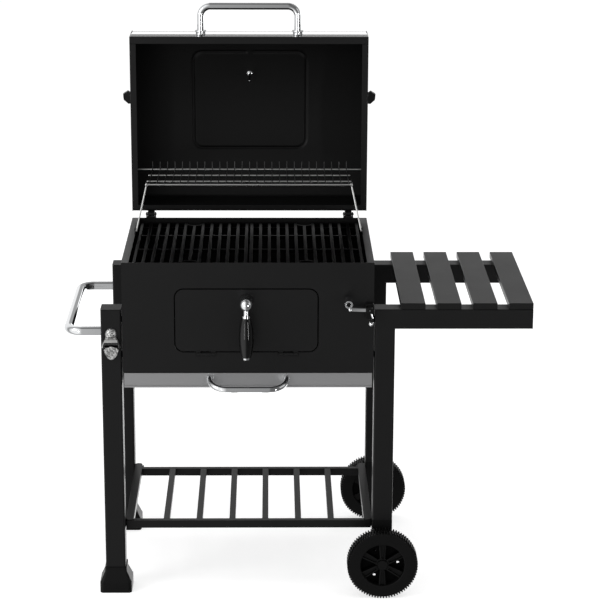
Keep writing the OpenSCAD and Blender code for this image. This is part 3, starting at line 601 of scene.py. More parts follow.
def tube(path: list[Vector], width: float, sides: int = 32, round_ends: bool = False) -> BMesh:
    """Round bar along a path.

    Args:
        path: Points of its middle line.
        width: Its radius in millimetres.
        sides: Corners of its section.
        round_ends: True for softly domed ends.

    Returns:
        The closed shape.
    """
    radius = width * MM
    stops = [(p, radius) for p in path]
    first, last = (path[1] - path[0]).normalized(), (path[-1] - path[-2]).normalized()
    if round_ends:
        dome = [(math.cos(a) * radius, math.sin(a) * radius) for a in (0.5, 0.95, 1.3)]
        stops = [(path[0] - first * (h - radius), r) for r, h in reversed(dome)]
        stops += [(path[0] + first * radius, radius)]
        stops += [(p, radius) for p in path[1:-1]]
        stops += [(path[-1] - last * radius, radius)]
        stops += [(path[-1] + last * (h - radius), r) for r, h in dome]
    shape = bmesh.new()
    side, ahead = first.orthogonal().normalized(), first
    turns = [2 * math.pi * k / sides for k in range(sides)]
    rings = []
    for i, (centre, r) in enumerate(stops):
        before, after = stops[max(i - 1, 0)][0], stops[min(i + 1, len(stops) - 1)][0]
        turned_to = (after - before).normalized()
        side = ahead.rotation_difference(turned_to) @ side
        ahead = turned_to
        up = ahead.cross(side)
        rings.append([shape.verts.new(centre + (side * math.cos(t) + up * math.sin(t)) * r) for t in turns])
    skin(shape, rings)
    return outward(shape)


def chrome_bar(node: str, corners: list[Vector], bend: float, width: float) -> None:
    """Bend a chromed handle that stands for a solid, with the radii of bend and tube in millimetres."""
    stand_in(node + "_bar", to_mesh(tube(bent_path(corners, bend), width, 40)), node, CHROME)


def rounded_loop(points: list[Flat], radius: float, steps: int = 3) -> list[Flat]:
    """Closed outline with every corner rounded.

    Args:
        points: Corners of the outline.
        radius: Radius of the rounding, made smaller where an edge is short.
        steps: Edges in each rounding.

    Returns:
        Points of the rounded outline.
    """
    out = []
    for i, corner in enumerate(points):
        here = Vector(corner)
        back, ahead = Vector(points[i - 1]) - here, Vector(points[(i + 1) % len(points)]) - here
        reach = min(radius, back.length * 0.45, ahead.length * 0.45)
        start, end = here + back.normalized() * reach, here + ahead.normalized() * reach
        for k in range(steps + 1):
            t = k / steps
            out.append(tuple(start * (1 - t) ** 2 + here * 2 * t * (1 - t) + end * t**2))
    return out


def turned(outline: list[Flat], rounding: float, steps: int) -> BMesh:
    """Ring turned about the Z axis from a closed outline.

    Args:
        outline: Radius and height of each corner in millimetres.
        rounding: Radius of its corners.
        steps: Points round the axis.

    Returns:
        The closed shape.
    """
    shape = bmesh.new()
    points = rounded_loop(outline, rounding)
    rings = []
    for i in range(steps):
        a = 2 * math.pi * i / steps
        spots = [Vector((r * math.cos(a), r * math.sin(a), h)) * MM for r, h in points]
        rings.append([shape.verts.new(spot) for spot in spots])
    skin(shape, [*rings, rings[0]], caps=False)
    return outward(shape)


def slab(outline: list[Flat], low: float, high: float) -> BMesh:
    """Flat outline raised between two heights, all in millimetres.

    Args:
        outline: Corners of the outline.
        low: Lower height.
        high: Upper height.

    Returns:
        The closed shape.
    """
    shape = bmesh.new()
    skin(shape, [[shape.verts.new(Vector((x, y, z)) * MM) for x, y in outline] for z in (low, high)])
    return outward(shape)


def rectangle(left: float, right: float, low: float, high: float) -> list[Flat]:
    """Corners of a rectangle."""
    return [(left, low), (right, low), (right, high), (left, high)]


def arc(middle: Flat, radius: float, start: float, end: float, steps: int) -> list[Flat]:
    """Points of an arc after its start, from one angle in radians to another."""
    turns = [start + (end - start) * k / steps for k in range(1, steps + 1)]
    return [(middle[0] + radius * math.cos(a), middle[1] + radius * math.sin(a)) for a in turns]


# Geometry Nodes


def repeat_tree(name: str, sizes: Sockets) -> Group:
    """Start a tree that sets out copies of a shape and ends in plain geometry with a material.

    Args:
        name: Name of the tree.
        sizes: Type and default of each input for the layout.

    Returns:
        The tree, the sockets of its inputs, and the node that places the copies.
    """
    takes = {"Geometry": ("Geometry", None), **sizes, "Material": ("Material", None)}
    tree, given, put = new_group(name, "GeometryNodeTree", takes, {"Geometry": "Geometry"})
    copies = add_node(tree, "GeometryNodeInstanceOnPoints", {"Instance": given["Geometry"]})
    real = add_node(tree, "GeometryNodeRealizeInstances", {"Geometry": copies.outputs["Instances"]})
    takes = {"Geometry": real.outputs["Geometry"], "Material": given["Material"]}
    dressed = add_node(tree, "GeometryNodeSetMaterial", takes)
    feed(tree, put, {"Geometry": dressed.outputs["Geometry"]})
    return tree, given, copies


@cache
def row_tree() -> NodeTree:
    """Tree that repeats a shape along a straight row.

    Returns:
        The tree.
    """
    sizes = {"Count": ("Int", 2), "First": ("Vector", None), "Last": ("Vector", None)}
    tree, given, copies = repeat_tree("row_of_shapes", sizes)
    takes = {"Count": given["Count"], "Start Location": given["First"], "Offset": given["Last"]}
    line = add_node(tree, "GeometryNodeMeshLine", takes, mode="END_POINTS")
    feed(tree, copies, {"Points": line.outputs["Mesh"]})
    return tree


@cache
def fan_tree() -> NodeTree:
    """Tree that repeats a shape round the Z axis.

    Returns:
        The tree.
    """
    sizes = {"Count": ("Int", 6), "Start": ("Float", 0.0), "Step": ("Float", 1.0)}
    tree, given, copies = repeat_tree("fan_of_shapes", sizes)
    takes = {"Count": given["Count"], "Offset": (0.0, 0.0, 0.0)}
    line = add_node(tree, "GeometryNodeMeshLine", takes, mode="OFFSET")
    index = add_node(tree, "GeometryNodeInputIndex").outputs[0]
    angle = maths(tree, "MULTIPLY_ADD", index, given["Step"], given["Start"])
    about = add_node(tree, "ShaderNodeCombineXYZ", {"Z": angle}).outputs[0]
    turn = add_node(tree, "FunctionNodeEulerToRotation", {0: about}).outputs[0]
    feed(tree, copies, {"Points": line.outputs["Mesh"], "Rotation": turn})
    return tree


def repeated(tree: NodeTree, shape: BMesh, finish: Finish, **sizes: object) -> Mesh:
    """Plain mesh that a tree makes of a shape.

    Args:
        tree: The tree.
        shape: The repeated shape.
        finish: Finish of the copies.
        sizes: The tree's inputs by name.

    Returns:
        The realized mesh.
    """
    values = {**sizes, "Material": finish.material()}
    holder = new_piece("repeat_holder", to_mesh(shape))
    modifier = holder.modifiers.new("repeat", "NODES")
    modifier.node_group = tree
    for item in tree.interface.items_tree:
        if item.item_type == "SOCKET" and item.in_out == "INPUT" and item.name in values:
            modifier[item.identifier] = values[item.name]
    return taken_out(holder)


# Sub-assemblies


@dataclass
class Trolley:
    """Legs, feet, shelf, side table and its small parts.

    Attributes:
        edges: Rounding of each solid's edges in millimetres.
        handle_x, handle_y, handle_z: Reach to the left, half span and height of the side handle.
        handle_r, handle_bend: Radius of its tube and of its bends.
        leg_face: Plane in the left legs where the handle ends.
        casting: Finish, rear depth and front corners of each lump of the bottle opener, as distance
            across, height and depth before the leg.
        cast_shift, cast_edge: Sideways shift of the opener, and rounding of its edges.
        dome, dome_z: Half width, depth and half height of its dome, and height of the dome's middle.
        rail_run: Distance that the shelf's rails run on under its end bars.
        rail_part: Distance from the middle beyond which the rails' points move.
        bridge_x, bridge_y, bridge_z: Spans of the closed hinge leaves across, in depth and in height.
    """

    edges: dict[str, float] = field(
        default_factory=lambda: {
            "left_front_leg": 0.0, "left_rear_leg": 0.0, "right_front_frame": 0.0, "right_rear_frame": 0.0,
            "tube_caps": 0.0, "feet": 1.6, "axle_blocks": 1.6, "axle": 0.3, "axle_caps": 1.2,
            "shelf_end_bars": 1.2, "shelf_slats": 1.2, "table_slats": 1.0, "table_screws": 0.3,
        }
    )
    handle_x: float = -442.75
    handle_y: float = 205.0
    handle_z: float = 678.5
    handle_r: float = 11.6
    handle_bend: float = 35.0
    leg_face: float = -360.0
    # The brow and left flank take a lighter finish as painted light; the hood's front, the right flank, the
    # mouth and the slot under the dome take dark finishes as painted shade.
    casting: tuple[tuple[Finish, float, tuple[Spot, ...]], ...] = (
        (PAINTED_SHADE, 0.0, ((-19, 644, 2.5), (19, 644, 2.5), (15, 664, 2.5), (-15, 664, 2.5))),
        (OPENER, 0.0, ((-13.8, 662, 9), (13.8, 662, 9), (13.2, 671.5, 7), (-13.2, 671.5, 7))),
        (PAINTED_SHADE, 4.0, ((-8.3, 670.6, 10.2), (7.2, 670.6, 10.2), (7.6, 673.2, 10.2), (-8, 673.2, 10.2))),
        (OPENER_LIT, 3.0, ((-17.3, 661.6, 16.6), (17.3, 661.6, 16.6), (15.6, 668, 12), (-15.6, 668, 12))),
        (
            OPENER_SHADE, 8.0,
            ((-19.4, 655.4, 14.6), (19.4, 655.4, 14.6), (17.2, 661.8, 16.2), (-17.2, 661.8, 16.2)),
        ),
        (
            OPENER_LIT, 0.0,
            ((-23.4, 647, 12), (-20.8, 647, 13.5), (-17.2, 662.5, 15.8), (-18.4, 662.5, 14.5)),
        ),
        (OPENER_SHADE, 0.0, ((18.6, 647, 13.5), (23.4, 647, 12), (18, 662.5, 14.5), (16.4, 662.5, 15.8))),
        (
            OPENER, 0.0,
            (
                (-18.4, 640.5, 7), (-13.4, 626, 7.5), (-9, 619.6, 7), (-3.6, 614.9, 6), (3.6, 614.9, 6),
                (9, 619.6, 7), (13.4, 626, 7.5), (18.4, 640.5, 7), (11.5, 645.6, 7), (0, 648.6, 7),
                (-11.5, 645.6, 7),
            ),
        ),
        (OPENER, 5.0, ((-4.5, 642, 10), (4.5, 642, 10), (3.4, 649.4, 9), (-3.4, 649.4, 9))),
    )
    cast_shift: float = -0.6
    cast_edge: float = 0.7
    dome: Spot = (14.9, 9.5, 16.2)
    dome_z: float = 678.2
    rail_run: float = 18.0
    rail_part: float = 200.0
    bridge_x: tuple[Flat, ...] = ((-267.5, -248.5), (249.5, 268.5))
    bridge_y: Flat = (219.5, 231.0)
    bridge_z: Flat = (856.0, 861.8)

    def side_handle(self) -> None:
        """Bend the chromed bar on the left."""
        ends = ((self.leg_face, -1), (self.handle_x, -1), (self.handle_x, 1), (self.leg_face, 1))
        corners = [place(x, side * self.handle_y, self.handle_z) for x, side in ends]
        chrome_bar("side_handle", corners, self.handle_bend, self.handle_r)

    def opener(self) -> None:
        """Cast the bottle opener: rough dome and shield; brow and left flank in a lighter finish as painted
        light; hood front, right flank, mouth and the slot under the dome in dark finishes as painted shade.
        """
        spots = [v.co for v in FRAME["nodes"]["bottle_opener"].data.vertices]
        across = [c.x for c in spots]
        x = (min(across) + max(across)) / 2 + self.cast_shift * MM
        middle = Vector((x, max(c.y for c in spots), 0.0))
        finishes = (OPENER, OPENER_LIT, OPENER_SHADE, PAINTED_SHADE)
        shape = bmesh.new()
        for finish, back, corners in self.casting:
            under = [shape.verts.new(middle + Vector((x, -back, z)) * MM) for x, z, _ in corners]
            over = [shape.verts.new(middle + Vector((x, -deep, z)) * MM) for x, z, deep in corners]
            for face in skin(shape, [under, over]):
                face.material_index = finishes.index(finish)
        bmesh.ops.recalc_face_normals(shape, faces=shape.faces)
        spot = Matrix.Translation(middle + Vector((0.0, 0.0, self.dome_z)) * MM)
        size = Matrix.Diagonal((*(Vector(self.dome) * MM), 1.0))
        bmesh.ops.create_uvsphere(shape, u_segments=32, v_segments=24, radius=1.0, matrix=spot @ size)
        round_off(shape, hard_edges(shape, math.radians(HARD_EDGE)), self.cast_edge * MM)
        stand_in("bottle_opener_cast", to_mesh(shape), "bottle_opener", *finishes, crease=ROUNDED_EDGE)

    def rails(self) -> None:
        """Round off the shelf's rails and run them on under its end bars."""
        for vert in soft_copy("shelf_rails", 1.2).data.vertices:
            away = vert.co.x + TROLLEY_MIDDLE.x
            if abs(away) > self.rail_part * MM:
                vert.co.x += math.copysign(self.rail_run * MM, away)

    def hinge_bridges(self) -> None:
        """Close the fixed leaves of the lid's hinges below their pins."""
        shape = bmesh.new()
        for left, right in self.bridge_x:
            low, high = (place(x, y, z) for x, y, z in zip((left, right), self.bridge_y, self.bridge_z))
            size = Matrix.Diagonal((*(high - low), 1.0))
            bmesh.ops.create_cube(shape, size=1.0, matrix=Matrix.Translation((low + high) / 2) @ size)
        finished("hinge_bridges", to_mesh(shape), (HEAT_PAINT,), "trolley", "frame_paint", crease=None)

    def build(self) -> None:
        """Round off and dress the trolley."""
        for node, edge in self.edges.items():
            soft_copy(node, edge)
        soft_copy("frame_bolts", 0.4, SATIN_PAINT)
        self.opener()
        self.rails()
        self.hinge_bridges()
        self.side_handle()


@dataclass
class Wheel:
    """A moulded spoked wheel with two staggered rows of tread blocks.

    Attributes:
        node: Solid that it stands for.
        axis: Direction of its outer face.
        inner: Distance of its inner face from the middle of the legs, along Y.
        centre: Trolley coordinates X and Z of the axle.
        radius, width, tread: Radius over the tread blocks, width of the tyre and depth of the tread.
        rim, web: Inner radius of the rim, and lower and upper face of the web.
        boss, bore, hub: Radius of the hub, radius of its bore, and height of its two ends.
        edge, sides: Rounding of the body's edges, and points round its axis.
        blocks, share: Tread blocks in each row, and the share of the tyre's width that a row takes.
        levels: Depth below the top, half width and inset of the ends at a block's foot, shoulder and top.
        spokes, spoke_run: Number of spokes, and distance of their two ends from the axis.
        spoke_half, spoke_inset: Half widths of a spoke's ends, and its distance from the tyre's sides.
        spoke_edge, groove: Rounding of a spoke's edges, and width and height of each step of its groove.
        holes: Number, distance from the axis and radius of the holes through the web.
        dished, sunk: Radii between hub and rim, and heights between which a flat face there is a recess;
            between the radii, raised flats take a lighter moulding as painted light and other faces a
            near-black finish as painted shade.
        level: Least part of a flat face's normal that lies along the axis.
        crease: Angle in degrees from which an edge stays sharp.
    """

    node: str
    axis: Axis
    inner: float
    centre: Flat = (335.0, 88.0)
    radius: float = 88.5
    width: float = 36.0
    tread: float = 4.4
    rim: float = 55.0
    web: Flat = (8.0, 15.0)
    boss: float = 17.0
    bore: float = 6.05
    hub: Flat = (-0.5, 29.0)
    edge: float = 1.8
    sides: int = 108
    blocks: int = 76
    share: float = 0.46
    levels: tuple[Spot, ...] = ((5.4, 1.9, 0.0), (0.5, 1.4, 0.0), (0.0, 1.1, 0.7))
    spokes: int = 6
    spoke_run: Flat = (14.0, 58.0)
    spoke_half: Flat = (6.5, 9.5)
    spoke_inset: float = 4.0
    spoke_edge: float = 1.2
    groove: tuple[Flat, ...] = ((3.2, 0.0), (0.8, -4.0))
    holes: tuple[int, float, float] = (3, 39.0, 4.0)
    dished: Flat = (17.2, 54.9)
    sunk: Flat = (4.5, 18.0)
    level: float = 0.6
    crease: float = 40.0

    def body(self) -> Mesh:
        """Tyre, rim, web and hub, with holes through the web.

        Returns:
            The mesh about the wheel's own axis.
        """
        tyre, (low, high), (foot, head) = self.radius - self.tread, self.web, self.hub
        outline = [
            (self.bore, foot), (self.boss, foot), (self.boss, low), (self.rim, low), (self.rim, 0.0),
            (tyre, 0.0), (tyre, self.width), (self.rim, self.width), (self.rim, high), (self.boss, high),
            (self.boss, head), (self.bore, head),
        ]
        piece = new_piece("wheel_body", to_mesh(turned(outline, self.edge, self.sides)))
        cutters = bmesh.new()
        count, away, radius = self.holes
        size = {"radius1": radius * MM, "radius2": radius * MM, "depth": self.width * MM}
        spot = Matrix.Translation(Vector((away, 0.0, (low + high) / 2)) * MM)
        for k in range(count):
            turn = Matrix.Rotation(2 * math.pi * k / count, 4, "Z")
            bmesh.ops.create_cone(cutters, cap_ends=True, segments=24, matrix=turn @ spot, **size)
        tool = new_piece("wheel_holes", to_mesh(cutters))
        cut = piece.modifiers.new("holes", "BOOLEAN")
        cut.operation = "DIFFERENCE"
        cut.object = tool
        cut.solver = "EXACT"
        mesh = taken_out(piece)
        bpy.data.objects.remove(tool)
        return mesh

    def spoke(self) -> BMesh:
        """One flared spoke with a sunk groove on its outer side.

        Returns:
            The shape.
        """
        (root, tip), (narrow, wide), inset = self.spoke_run, self.spoke_half, self.spoke_inset
        corners = [(root, -narrow), (tip, -wide), (tip, wide), (root, narrow)]
        shape = slab(corners, inset, self.width - inset)
        level = [e for e in shape.edges if abs(e.verts[0].co.z - e.verts[1].co.z) < 1e-6]
        round_off(shape, level, self.spoke_edge * MM)
        top = max(shape.faces, key=lambda f: f.calc_center_median().z)
        for step, sunk in self.groove:
            bmesh.ops.inset_region(shape, faces=[top], thickness=step * MM, depth=sunk * MM)
        return shape

    def block(self, low: float) -> BMesh:
        """One tread block.

        Args:
            low: Height of its inner end in millimetres.

        Returns:
            The shape.
        """
        shape = bmesh.new()
        high = low + self.width * self.share
        rings = []
        for depth, half, short in self.levels:
            r, start, end = self.radius - depth, low + short, high - short
            ends = ((start, -half), (start, half), (end, half), (end, -half))
            rings.append([shape.verts.new(Vector((r, t, z)) * MM) for z, t in ends])
        skin(shape, rings)
        return outward(shape)

    def ring(self, shape: BMesh, count: int, start: float) -> Mesh:
        """Copies of a shape evenly round the axis, the first one turned by a share of their step."""
        step = 2 * math.pi / count
        return repeated(fan_tree(), shape, WHEEL, Count=count, Start=start * step, Step=step)

    def finish_of(self, face: MeshPolygon) -> int:
        """Finish of a face: tyre and hub, painted shade in the recess, or a lighter moulding as painted
        light on a raised flat between them.

        Args:
            face: The face, about the wheel's own axis.

        Returns:
            Index of its finish.
        """
        away, height = math.hypot(face.center.x, face.center.y) / MM, face.center.z / MM
        if not self.dished[0] < away < self.dished[1]:
            return 0
        raised = abs(face.normal.z) > self.level and not self.sunk[0] < height < self.sunk[1]
        return 2 if raised else 1

    def build(self) -> None:
        """Assemble the wheel and put it on its axle."""
        near = self.ring(self.block(0.0), self.blocks, 0.0)
        far = self.ring(self.block(self.width * (1.0 - self.share)), self.blocks, 0.5)
        mesh = joined(self.body(), near, far, self.ring(self.spoke(), self.spokes, 0.5))
        for face in mesh.polygons:
            face.material_index = self.finish_of(face)
        x, z = self.centre
        mesh.transform(Matrix.Translation(place(x, self.inner, z)) @ self.axis.value)
        # Recesses between hub and rim take a near-black finish as painted shade, and raised flats there a
        # lighter moulding as painted light.
        stand_in(self.node + "_moulded", mesh, self.node, WHEEL, PAINTED_SHADE, MOULDED, crease=self.crease)


@dataclass
class Firebox:
    """Walls, charcoal door, ash drawer, pan and pan lift.

    Attributes:
        edges: Rounding of each solid's edges in millimetres.
        inside: Direction that each wall's inner face looks in.
        lift, elbow: Trolley coordinates X and Z of the lift's shaft and of the crank's elbow.
        arm_y, sleeve: Plane of the crank's arm, and start, end and radius of the sleeve on it.
        boss: Bore, radius, rear end and front end of the sleeve's boss on the shaft.
        knob, plug: Bottom of the hole in the crank knob's end, and outline of the dark plug in it, painted
            shade in the hole.
        bow, bow_tilt: Half span, reach, bend and radius of the drawer's handle, and its tilt in degrees.
        bow_root: Depth of the drawer's face, and height of the handle's ends.
        bow_sunk: Depth of the ends in the face.
    """

    edges: dict[str, float] = field(
        default_factory=lambda: {
            "grate_ledges": 0.3, "drawer_runners": 0.3, "crank_bracket": 1.4, "crank_rear_bush": 0.4,
            "bracket_bolts": 0.3, "pan_guides": 0.3, "hinge_box_leaves": 0.4, "hinge_pins": 0.3,
            "charcoal_door": 0.5, "door_handle_stem": 0.5, "door_handle_grip": 1.2, "drawer_tray": 0.3,
            "drawer_front": 0.6, "crank_lever": 0.5, "charcoal_pan": 0.3,
        }
    )
    inside: dict[str, Spot] = field(
        default_factory=lambda: {
            "firebox_front": (0.0, 1.0, 0.0), "firebox_left": (1.0, 0.0, 0.0),
            "firebox_right": (-1.0, 0.0, 0.0), "firebox_rear": (0.0, -1.0, 0.0),
        }
    )
    lift: Flat = (296.0, 747.0)
    elbow: Flat = (249.0, 748.5)
    arm_y: float = -258.0
    sleeve: Spot = (-4.0, 13.2, 6.8)
    boss: tuple[float, float, float, float] = (0.3, 8.6, -7.4, 7.6)
    knob: Spot = (244.0, -288.0, 770.0)
    plug: tuple[Flat, ...] = ((0.2, 0.0), (5.3, 0.0), (5.3, 1.4), (0.2, 2.2))
    bow: tuple[float, float, float, float] = (95.0, 46.0, 43.0, 7.2)
    bow_root: Flat = (-237.0, 567.0)
    bow_sunk: float = 0.4
    bow_tilt: float = 20.0

    def crank_sleeve(self) -> None:
        """Mould the black sleeve over the root of the crank's arm."""
        root, elbow = (place(x, self.arm_y, z) for x, z in (self.lift, self.elbow))
        ahead = (elbow - root).normalized() * MM
        start, end, radius = self.sleeve
        sleeve = tube([root + ahead * start, root + ahead * end], radius, round_ends=True)
        boss = turned(rectangle(*self.boss), 2.5, 40)
        boss.transform(Matrix.Translation(root) @ Axis.FORWARD.value)
        mesh = joined(to_mesh(sleeve), to_mesh(boss))
        finished("crank_sleeve", mesh, (MOULDED,), "lift_lever", "black_plastic")

    def knob_plug(self) -> None:
        """Set a dark plug into the crank knob's hollow end, as painted shade in the hollow."""
        plug = turned([*self.plug], 0.4, 32)
        plug.transform(Matrix.Translation(place(*self.knob)) @ Axis.FORWARD.value)
        finished("crank_knob_shade_plug", to_mesh(plug), (MOULDED,), "lift_lever", "black_plastic")

    def drawer_bow(self) -> None:
        """Bend the drawer's chromed handle."""
        span, reach, bend, radius = self.bow
        tilt = math.radians(self.bow_tilt)
        y, z = self.bow_root
        root, front = (y + self.bow_sunk, z), (y - reach * math.cos(tilt), z - reach * math.sin(tilt))
        ends = ((-span, root), (-span, front), (span, front), (span, root))
        chrome_bar("drawer_handle", [place(x, *end) for x, end in ends], bend, radius)

    def build(self) -> None:
        """Round off and dress the firebox, its walls satin outside and matt inside."""
        for node, edge in self.edges.items():
            soft_copy(node, edge)
        soft_copy("door_hinge_pins", 0.0, SATIN_PAINT)
        for node, inward in self.inside.items():
            soft_copy(
                node, 0.4, SATIN_PAINT, HEAT_PAINT,
                pick=lambda face, inward=inward: int(face.normal.dot(inward) > 0.7),
            )
        self.drawer_bow()
        self.crank_sleeve()
        self.knob_plug()


@dataclass
class Grates:
    """The two cast cooking grates, with the rounding of their bars."""

    edge: float = 1.3

    def build(self) -> None:
        """Round off the bars of both grates."""
        for node in ("left_grate", "right_grate"):
            soft_copy(node, self.edge)


@dataclass
class Lid:
    """Pressed lid with its bead, handle and vents; heights are those of the closed lid.

    Attributes:
        front, rear: Outer faces of the front and the rear wall.
        rim, crown: Height of the rim, and height of the roof above it.
        roof_r, front_r, rear_r: Radii of the roof, the front shoulder and the rear shoulder.
        flange, flat, lip_r: Width of the turned-in rim in front and behind, distance from the wall where
            it is flat, and radius of its turn.
        half, sheet: Half the inner length, and thickness of the sheet.
        bead_x, bead_y: Half the length of the pressed bead, and its front and rear edge.
        bead_w, bead_h, bead_r: Width, height and corner radius of the bead.
        bead_gap: Half the gap in the bead's front run, and the run in which it rises beside the gap.
        lean, lean_from: Setback of the front wall's upper part, and height above the rim where it starts.
        drawn: Distance that the front is drawn in.
        knob_draw: Share by which a vent's knob is drawn out.
        vent_face: Distance of a vent disc's face outside the inner length.
        handle: Height above the rim, half span, reach, bend and radius of the handle.
        steps: Spacing of the pressing's mesh on the bead, beside it, on the roof and along the lid.
        near, nearby: Distance from the bead that counts as on it, along the lid and over the roof, and
            distance that counts as beside it.
        gap_stops: Stations along the lid's right half at the bead's gap.
    """

    front: float = -245.0
    rear: float = 218.0
    rim: float = 862.0
    crown: float = 200.0
    roof_r: float = 620.0
    front_r: float = 70.0
    rear_r: float = 15.0
    flange: Flat = (19.0, 16.0)
    flat: float = 9.0
    lip_r: float = 5.0
    half: float = 305.5
    sheet: float = 1.5
    bead_x: float = 155.0
    bead_y: Flat = (-178.0, 94.0)
    bead_w: float = 9.0
    bead_h: float = 2.8
    bead_r: float = 30.0
    bead_gap: Flat = (5.0, 5.0)
    lean: float = 3.5
    lean_from: float = 46.0
    drawn: float = 4.0
    knob_draw: float = 0.34
    vent_face: float = 3.5
    handle: tuple[float, float, float, float, float] = (32.0, 125.0, 70.0, 25.0, 9.0)
    steps: tuple[float, float, float, float] = (1.3, 2.6, 9.0, 14.0)
    near: Flat = (8.0, 9.0)
    nearby: float = 34.0
    gap_stops: tuple[float, ...] = (0.0, 3.0, 5.0, 6.5, 8.0, 9.5, 11.0, 14.0)

    def draw_in(self, mesh: Mesh) -> None:
        """Draw the front of the open lid in, most at its outer face.

        Args:
            mesh: A mesh of the lid.
        """
        start, end = open_lid(0, self.front + self.front_r, 0).z, open_lid(0, self.front, 0).z
        for vert in mesh.vertices:
            vert.co.z -= self.drawn * MM * min(max((vert.co.z - start) / (end - start), 0.0), 1.0)

    def section(self) -> list[Flat]:
        """Outer section from the front flange over the roof to the rear flange.

        Returns:
            Distance behind the middle and height of each point.
        """
        roof_z, low, lip = self.rim + self.crown - self.roof_r, self.rim + self.lip_r, self.lip_r
        fy, ry = self.front + self.front_r, self.rear - self.rear_r
        fz = roof_z + math.sqrt((self.roof_r - self.front_r) ** 2 - fy**2)
        rz = roof_z + math.sqrt((self.roof_r - self.rear_r) ** 2 - ry**2)
        f_turn, r_turn = math.atan2(fz - roof_z, fy), math.atan2(rz - roof_z, ry)
        points = [(self.front + away, self.rim) for away in (self.flange[0], self.flat, lip)]
        points += arc((self.front + lip, low), lip, 1.5 * math.pi, math.pi, 4)
        steps, bottom = 12, self.rim + self.lean_from
        for z in (low + (fz - low) * k / steps for k in range(1, steps + 1)):
            points.append((self.front + self.lean * max(z - bottom, 0.0) / (fz - bottom), z))
        steps = 20
        for k, (y, z) in enumerate(arc((fy, fz), self.front_r, math.pi, f_turn, steps), 1):
            points.append((y + self.lean * (1 - k / steps) ** 2, z))
        a = f_turn
        fine, beside, coarse, _ = self.steps
        runs = (self.bead_y[0] + self.bead_w / 2, self.bead_y[1] - self.bead_w / 2)
        while a > r_turn + 0.002:
            away = min(abs(self.roof_r * math.cos(a) - run) for run in runs)
            step = fine if away < self.near[1] else beside if away < self.nearby else coarse
            a = max(a - step / self.roof_r, r_turn)
            points.append((self.roof_r * math.cos(a), roof_z + self.roof_r * math.sin(a)))
        points += arc((ry, rz), self.rear_r, r_turn, 0.0, 10)
        steps = 6
        points += [(self.rear, rz + (low - rz) * k / steps) for k in range(1, steps + 1)]
        points += arc((self.rear - lip, low), lip, 0.0, -0.5 * math.pi, 4)
        return points + [(self.rear - away, self.rim) for away in (self.flat, self.flange[1])]

    def columns(self) -> list[float]:
        """Stations along the lid, close together where the bead turns or ends.

        Returns:
            Distances to the right of the middle.
        """
        right = [*self.gap_stops]
        x, edge = right[-1], self.bead_x - self.bead_w / 2
        fine, beside, _, coarse = self.steps
        while x < self.half:
            x += fine if abs(x - edge) < self.near[0] else beside if 0 < edge - x < self.nearby else coarse
            right.append(min(x, self.half))
        return [-x for x in reversed(right[1:])] + right

    def bead(self, x: float, y: float) -> float:
        """Height of the pressed bead over the roof.

        Args:
            x: Distance to the right of the middle.
            y: Distance behind the middle.

        Returns:
            The height.
        """
        inset, middle = self.bead_w / 2, sum(self.bead_y) / 2
        r = self.bead_r - inset
        qx = abs(x) - (self.bead_x - inset) + r
        qy = abs(y - middle) - ((self.bead_y[1] - self.bead_y[0]) / 2 - inset) + r
        away = abs(math.hypot(max(qx, 0.0), max(qy, 0.0)) + min(max(qx, qy), 0.0) - r)
        reach = inset + self.sheet
        if away >= reach:
            return 0.0
        rise = self.bead_h * (0.5 + 0.5 * math.cos(math.pi * away / reach))
        if y < middle:
            gap, run = self.bead_gap
            rise *= min(max((abs(x) - gap) / run, 0.0), 1.0)
        return rise

    def shell(self) -> None:
        """Press the front, roof and back out of one sheet."""
        section, columns = self.section(), self.columns()
        shape = bmesh.new()
        outer, inner = [], []
        last, rim_bands, walls = len(section) - 1, 6, self.rim + 100.0
        for i, (y, z) in enumerate(section):
            (y0, z0), (y1, z1) = section[max(i - 1, 0)], section[min(i + 1, last)]
            away = Vector((z0 - z1, y1 - y0)).normalized()
            rises = [self.bead(x, y) if z > walls else 0.0 for x in columns]
            for rows, depth in ((outer, 0.0), (inner, self.sheet)):
                lifts = [away * (h - depth) for h in rises]
                spots = (open_lid(x, y + lift.x, z + lift.y) for x, lift in zip(columns, lifts))
                rows.append([shape.verts.new(spot) for spot in spots])
        n = len(columns)
        for i in range(last):
            outside = 0 if rim_bands <= i < last - rim_bands else 2
            for k in range(n - 1):
                face = shape.faces.new((outer[i][k], outer[i][k + 1], outer[i + 1][k + 1], outer[i + 1][k]))
                face.material_index = outside
                face = shape.faces.new((inner[i][k], inner[i + 1][k], inner[i + 1][k + 1], inner[i][k + 1]))
                face.material_index = 1
            for k in (0, n - 1):
                shape.faces.new((outer[i][k], outer[i + 1][k], inner[i + 1][k], inner[i][k]))
        for i in (0, last):
            for k in range(n - 1):
                face = shape.faces.new((outer[i][k], outer[i][k + 1], inner[i][k + 1], inner[i][k]))
                face.material_index = 2
        bmesh.ops.recalc_face_normals(shape, faces=shape.faces)
        mesh = to_mesh(outward(shape))
        self.draw_in(mesh)
        stand_in("lid_pressing", mesh, "lid_shell", ENAMEL, HEAT_PAINT, SATIN_PAINT)

    def side(self, node: str, sign: float) -> None:
        """Dress an end wall, glossy outside, matt inside and satin on its rim.

        Args:
            node: The end wall's solid.
            sign: 1 for the right wall, -1 for the left.
        """
        soft_copy(
            node, 0.3, ENAMEL, HEAT_PAINT, SATIN_PAINT, shaped=self.draw_in,
            pick=lambda face: 2 if face.normal.y < -0.7 else 0 if face.normal.x * sign > -0.5 else 1,
        )

    def vent(self, node: str) -> None:
        """Round off a vent's disc and draw its finger knob out.

        Args:
            node: The vent's solid.
        """
        face = (self.half + self.vent_face) * MM
        for vert in soft_copy(node, 0.6).data.vertices:
            away = vert.co.x + TROLLEY_MIDDLE.x
            if abs(away) > face:
                vert.co.x += math.copysign((abs(away) - face) * self.knob_draw, away)

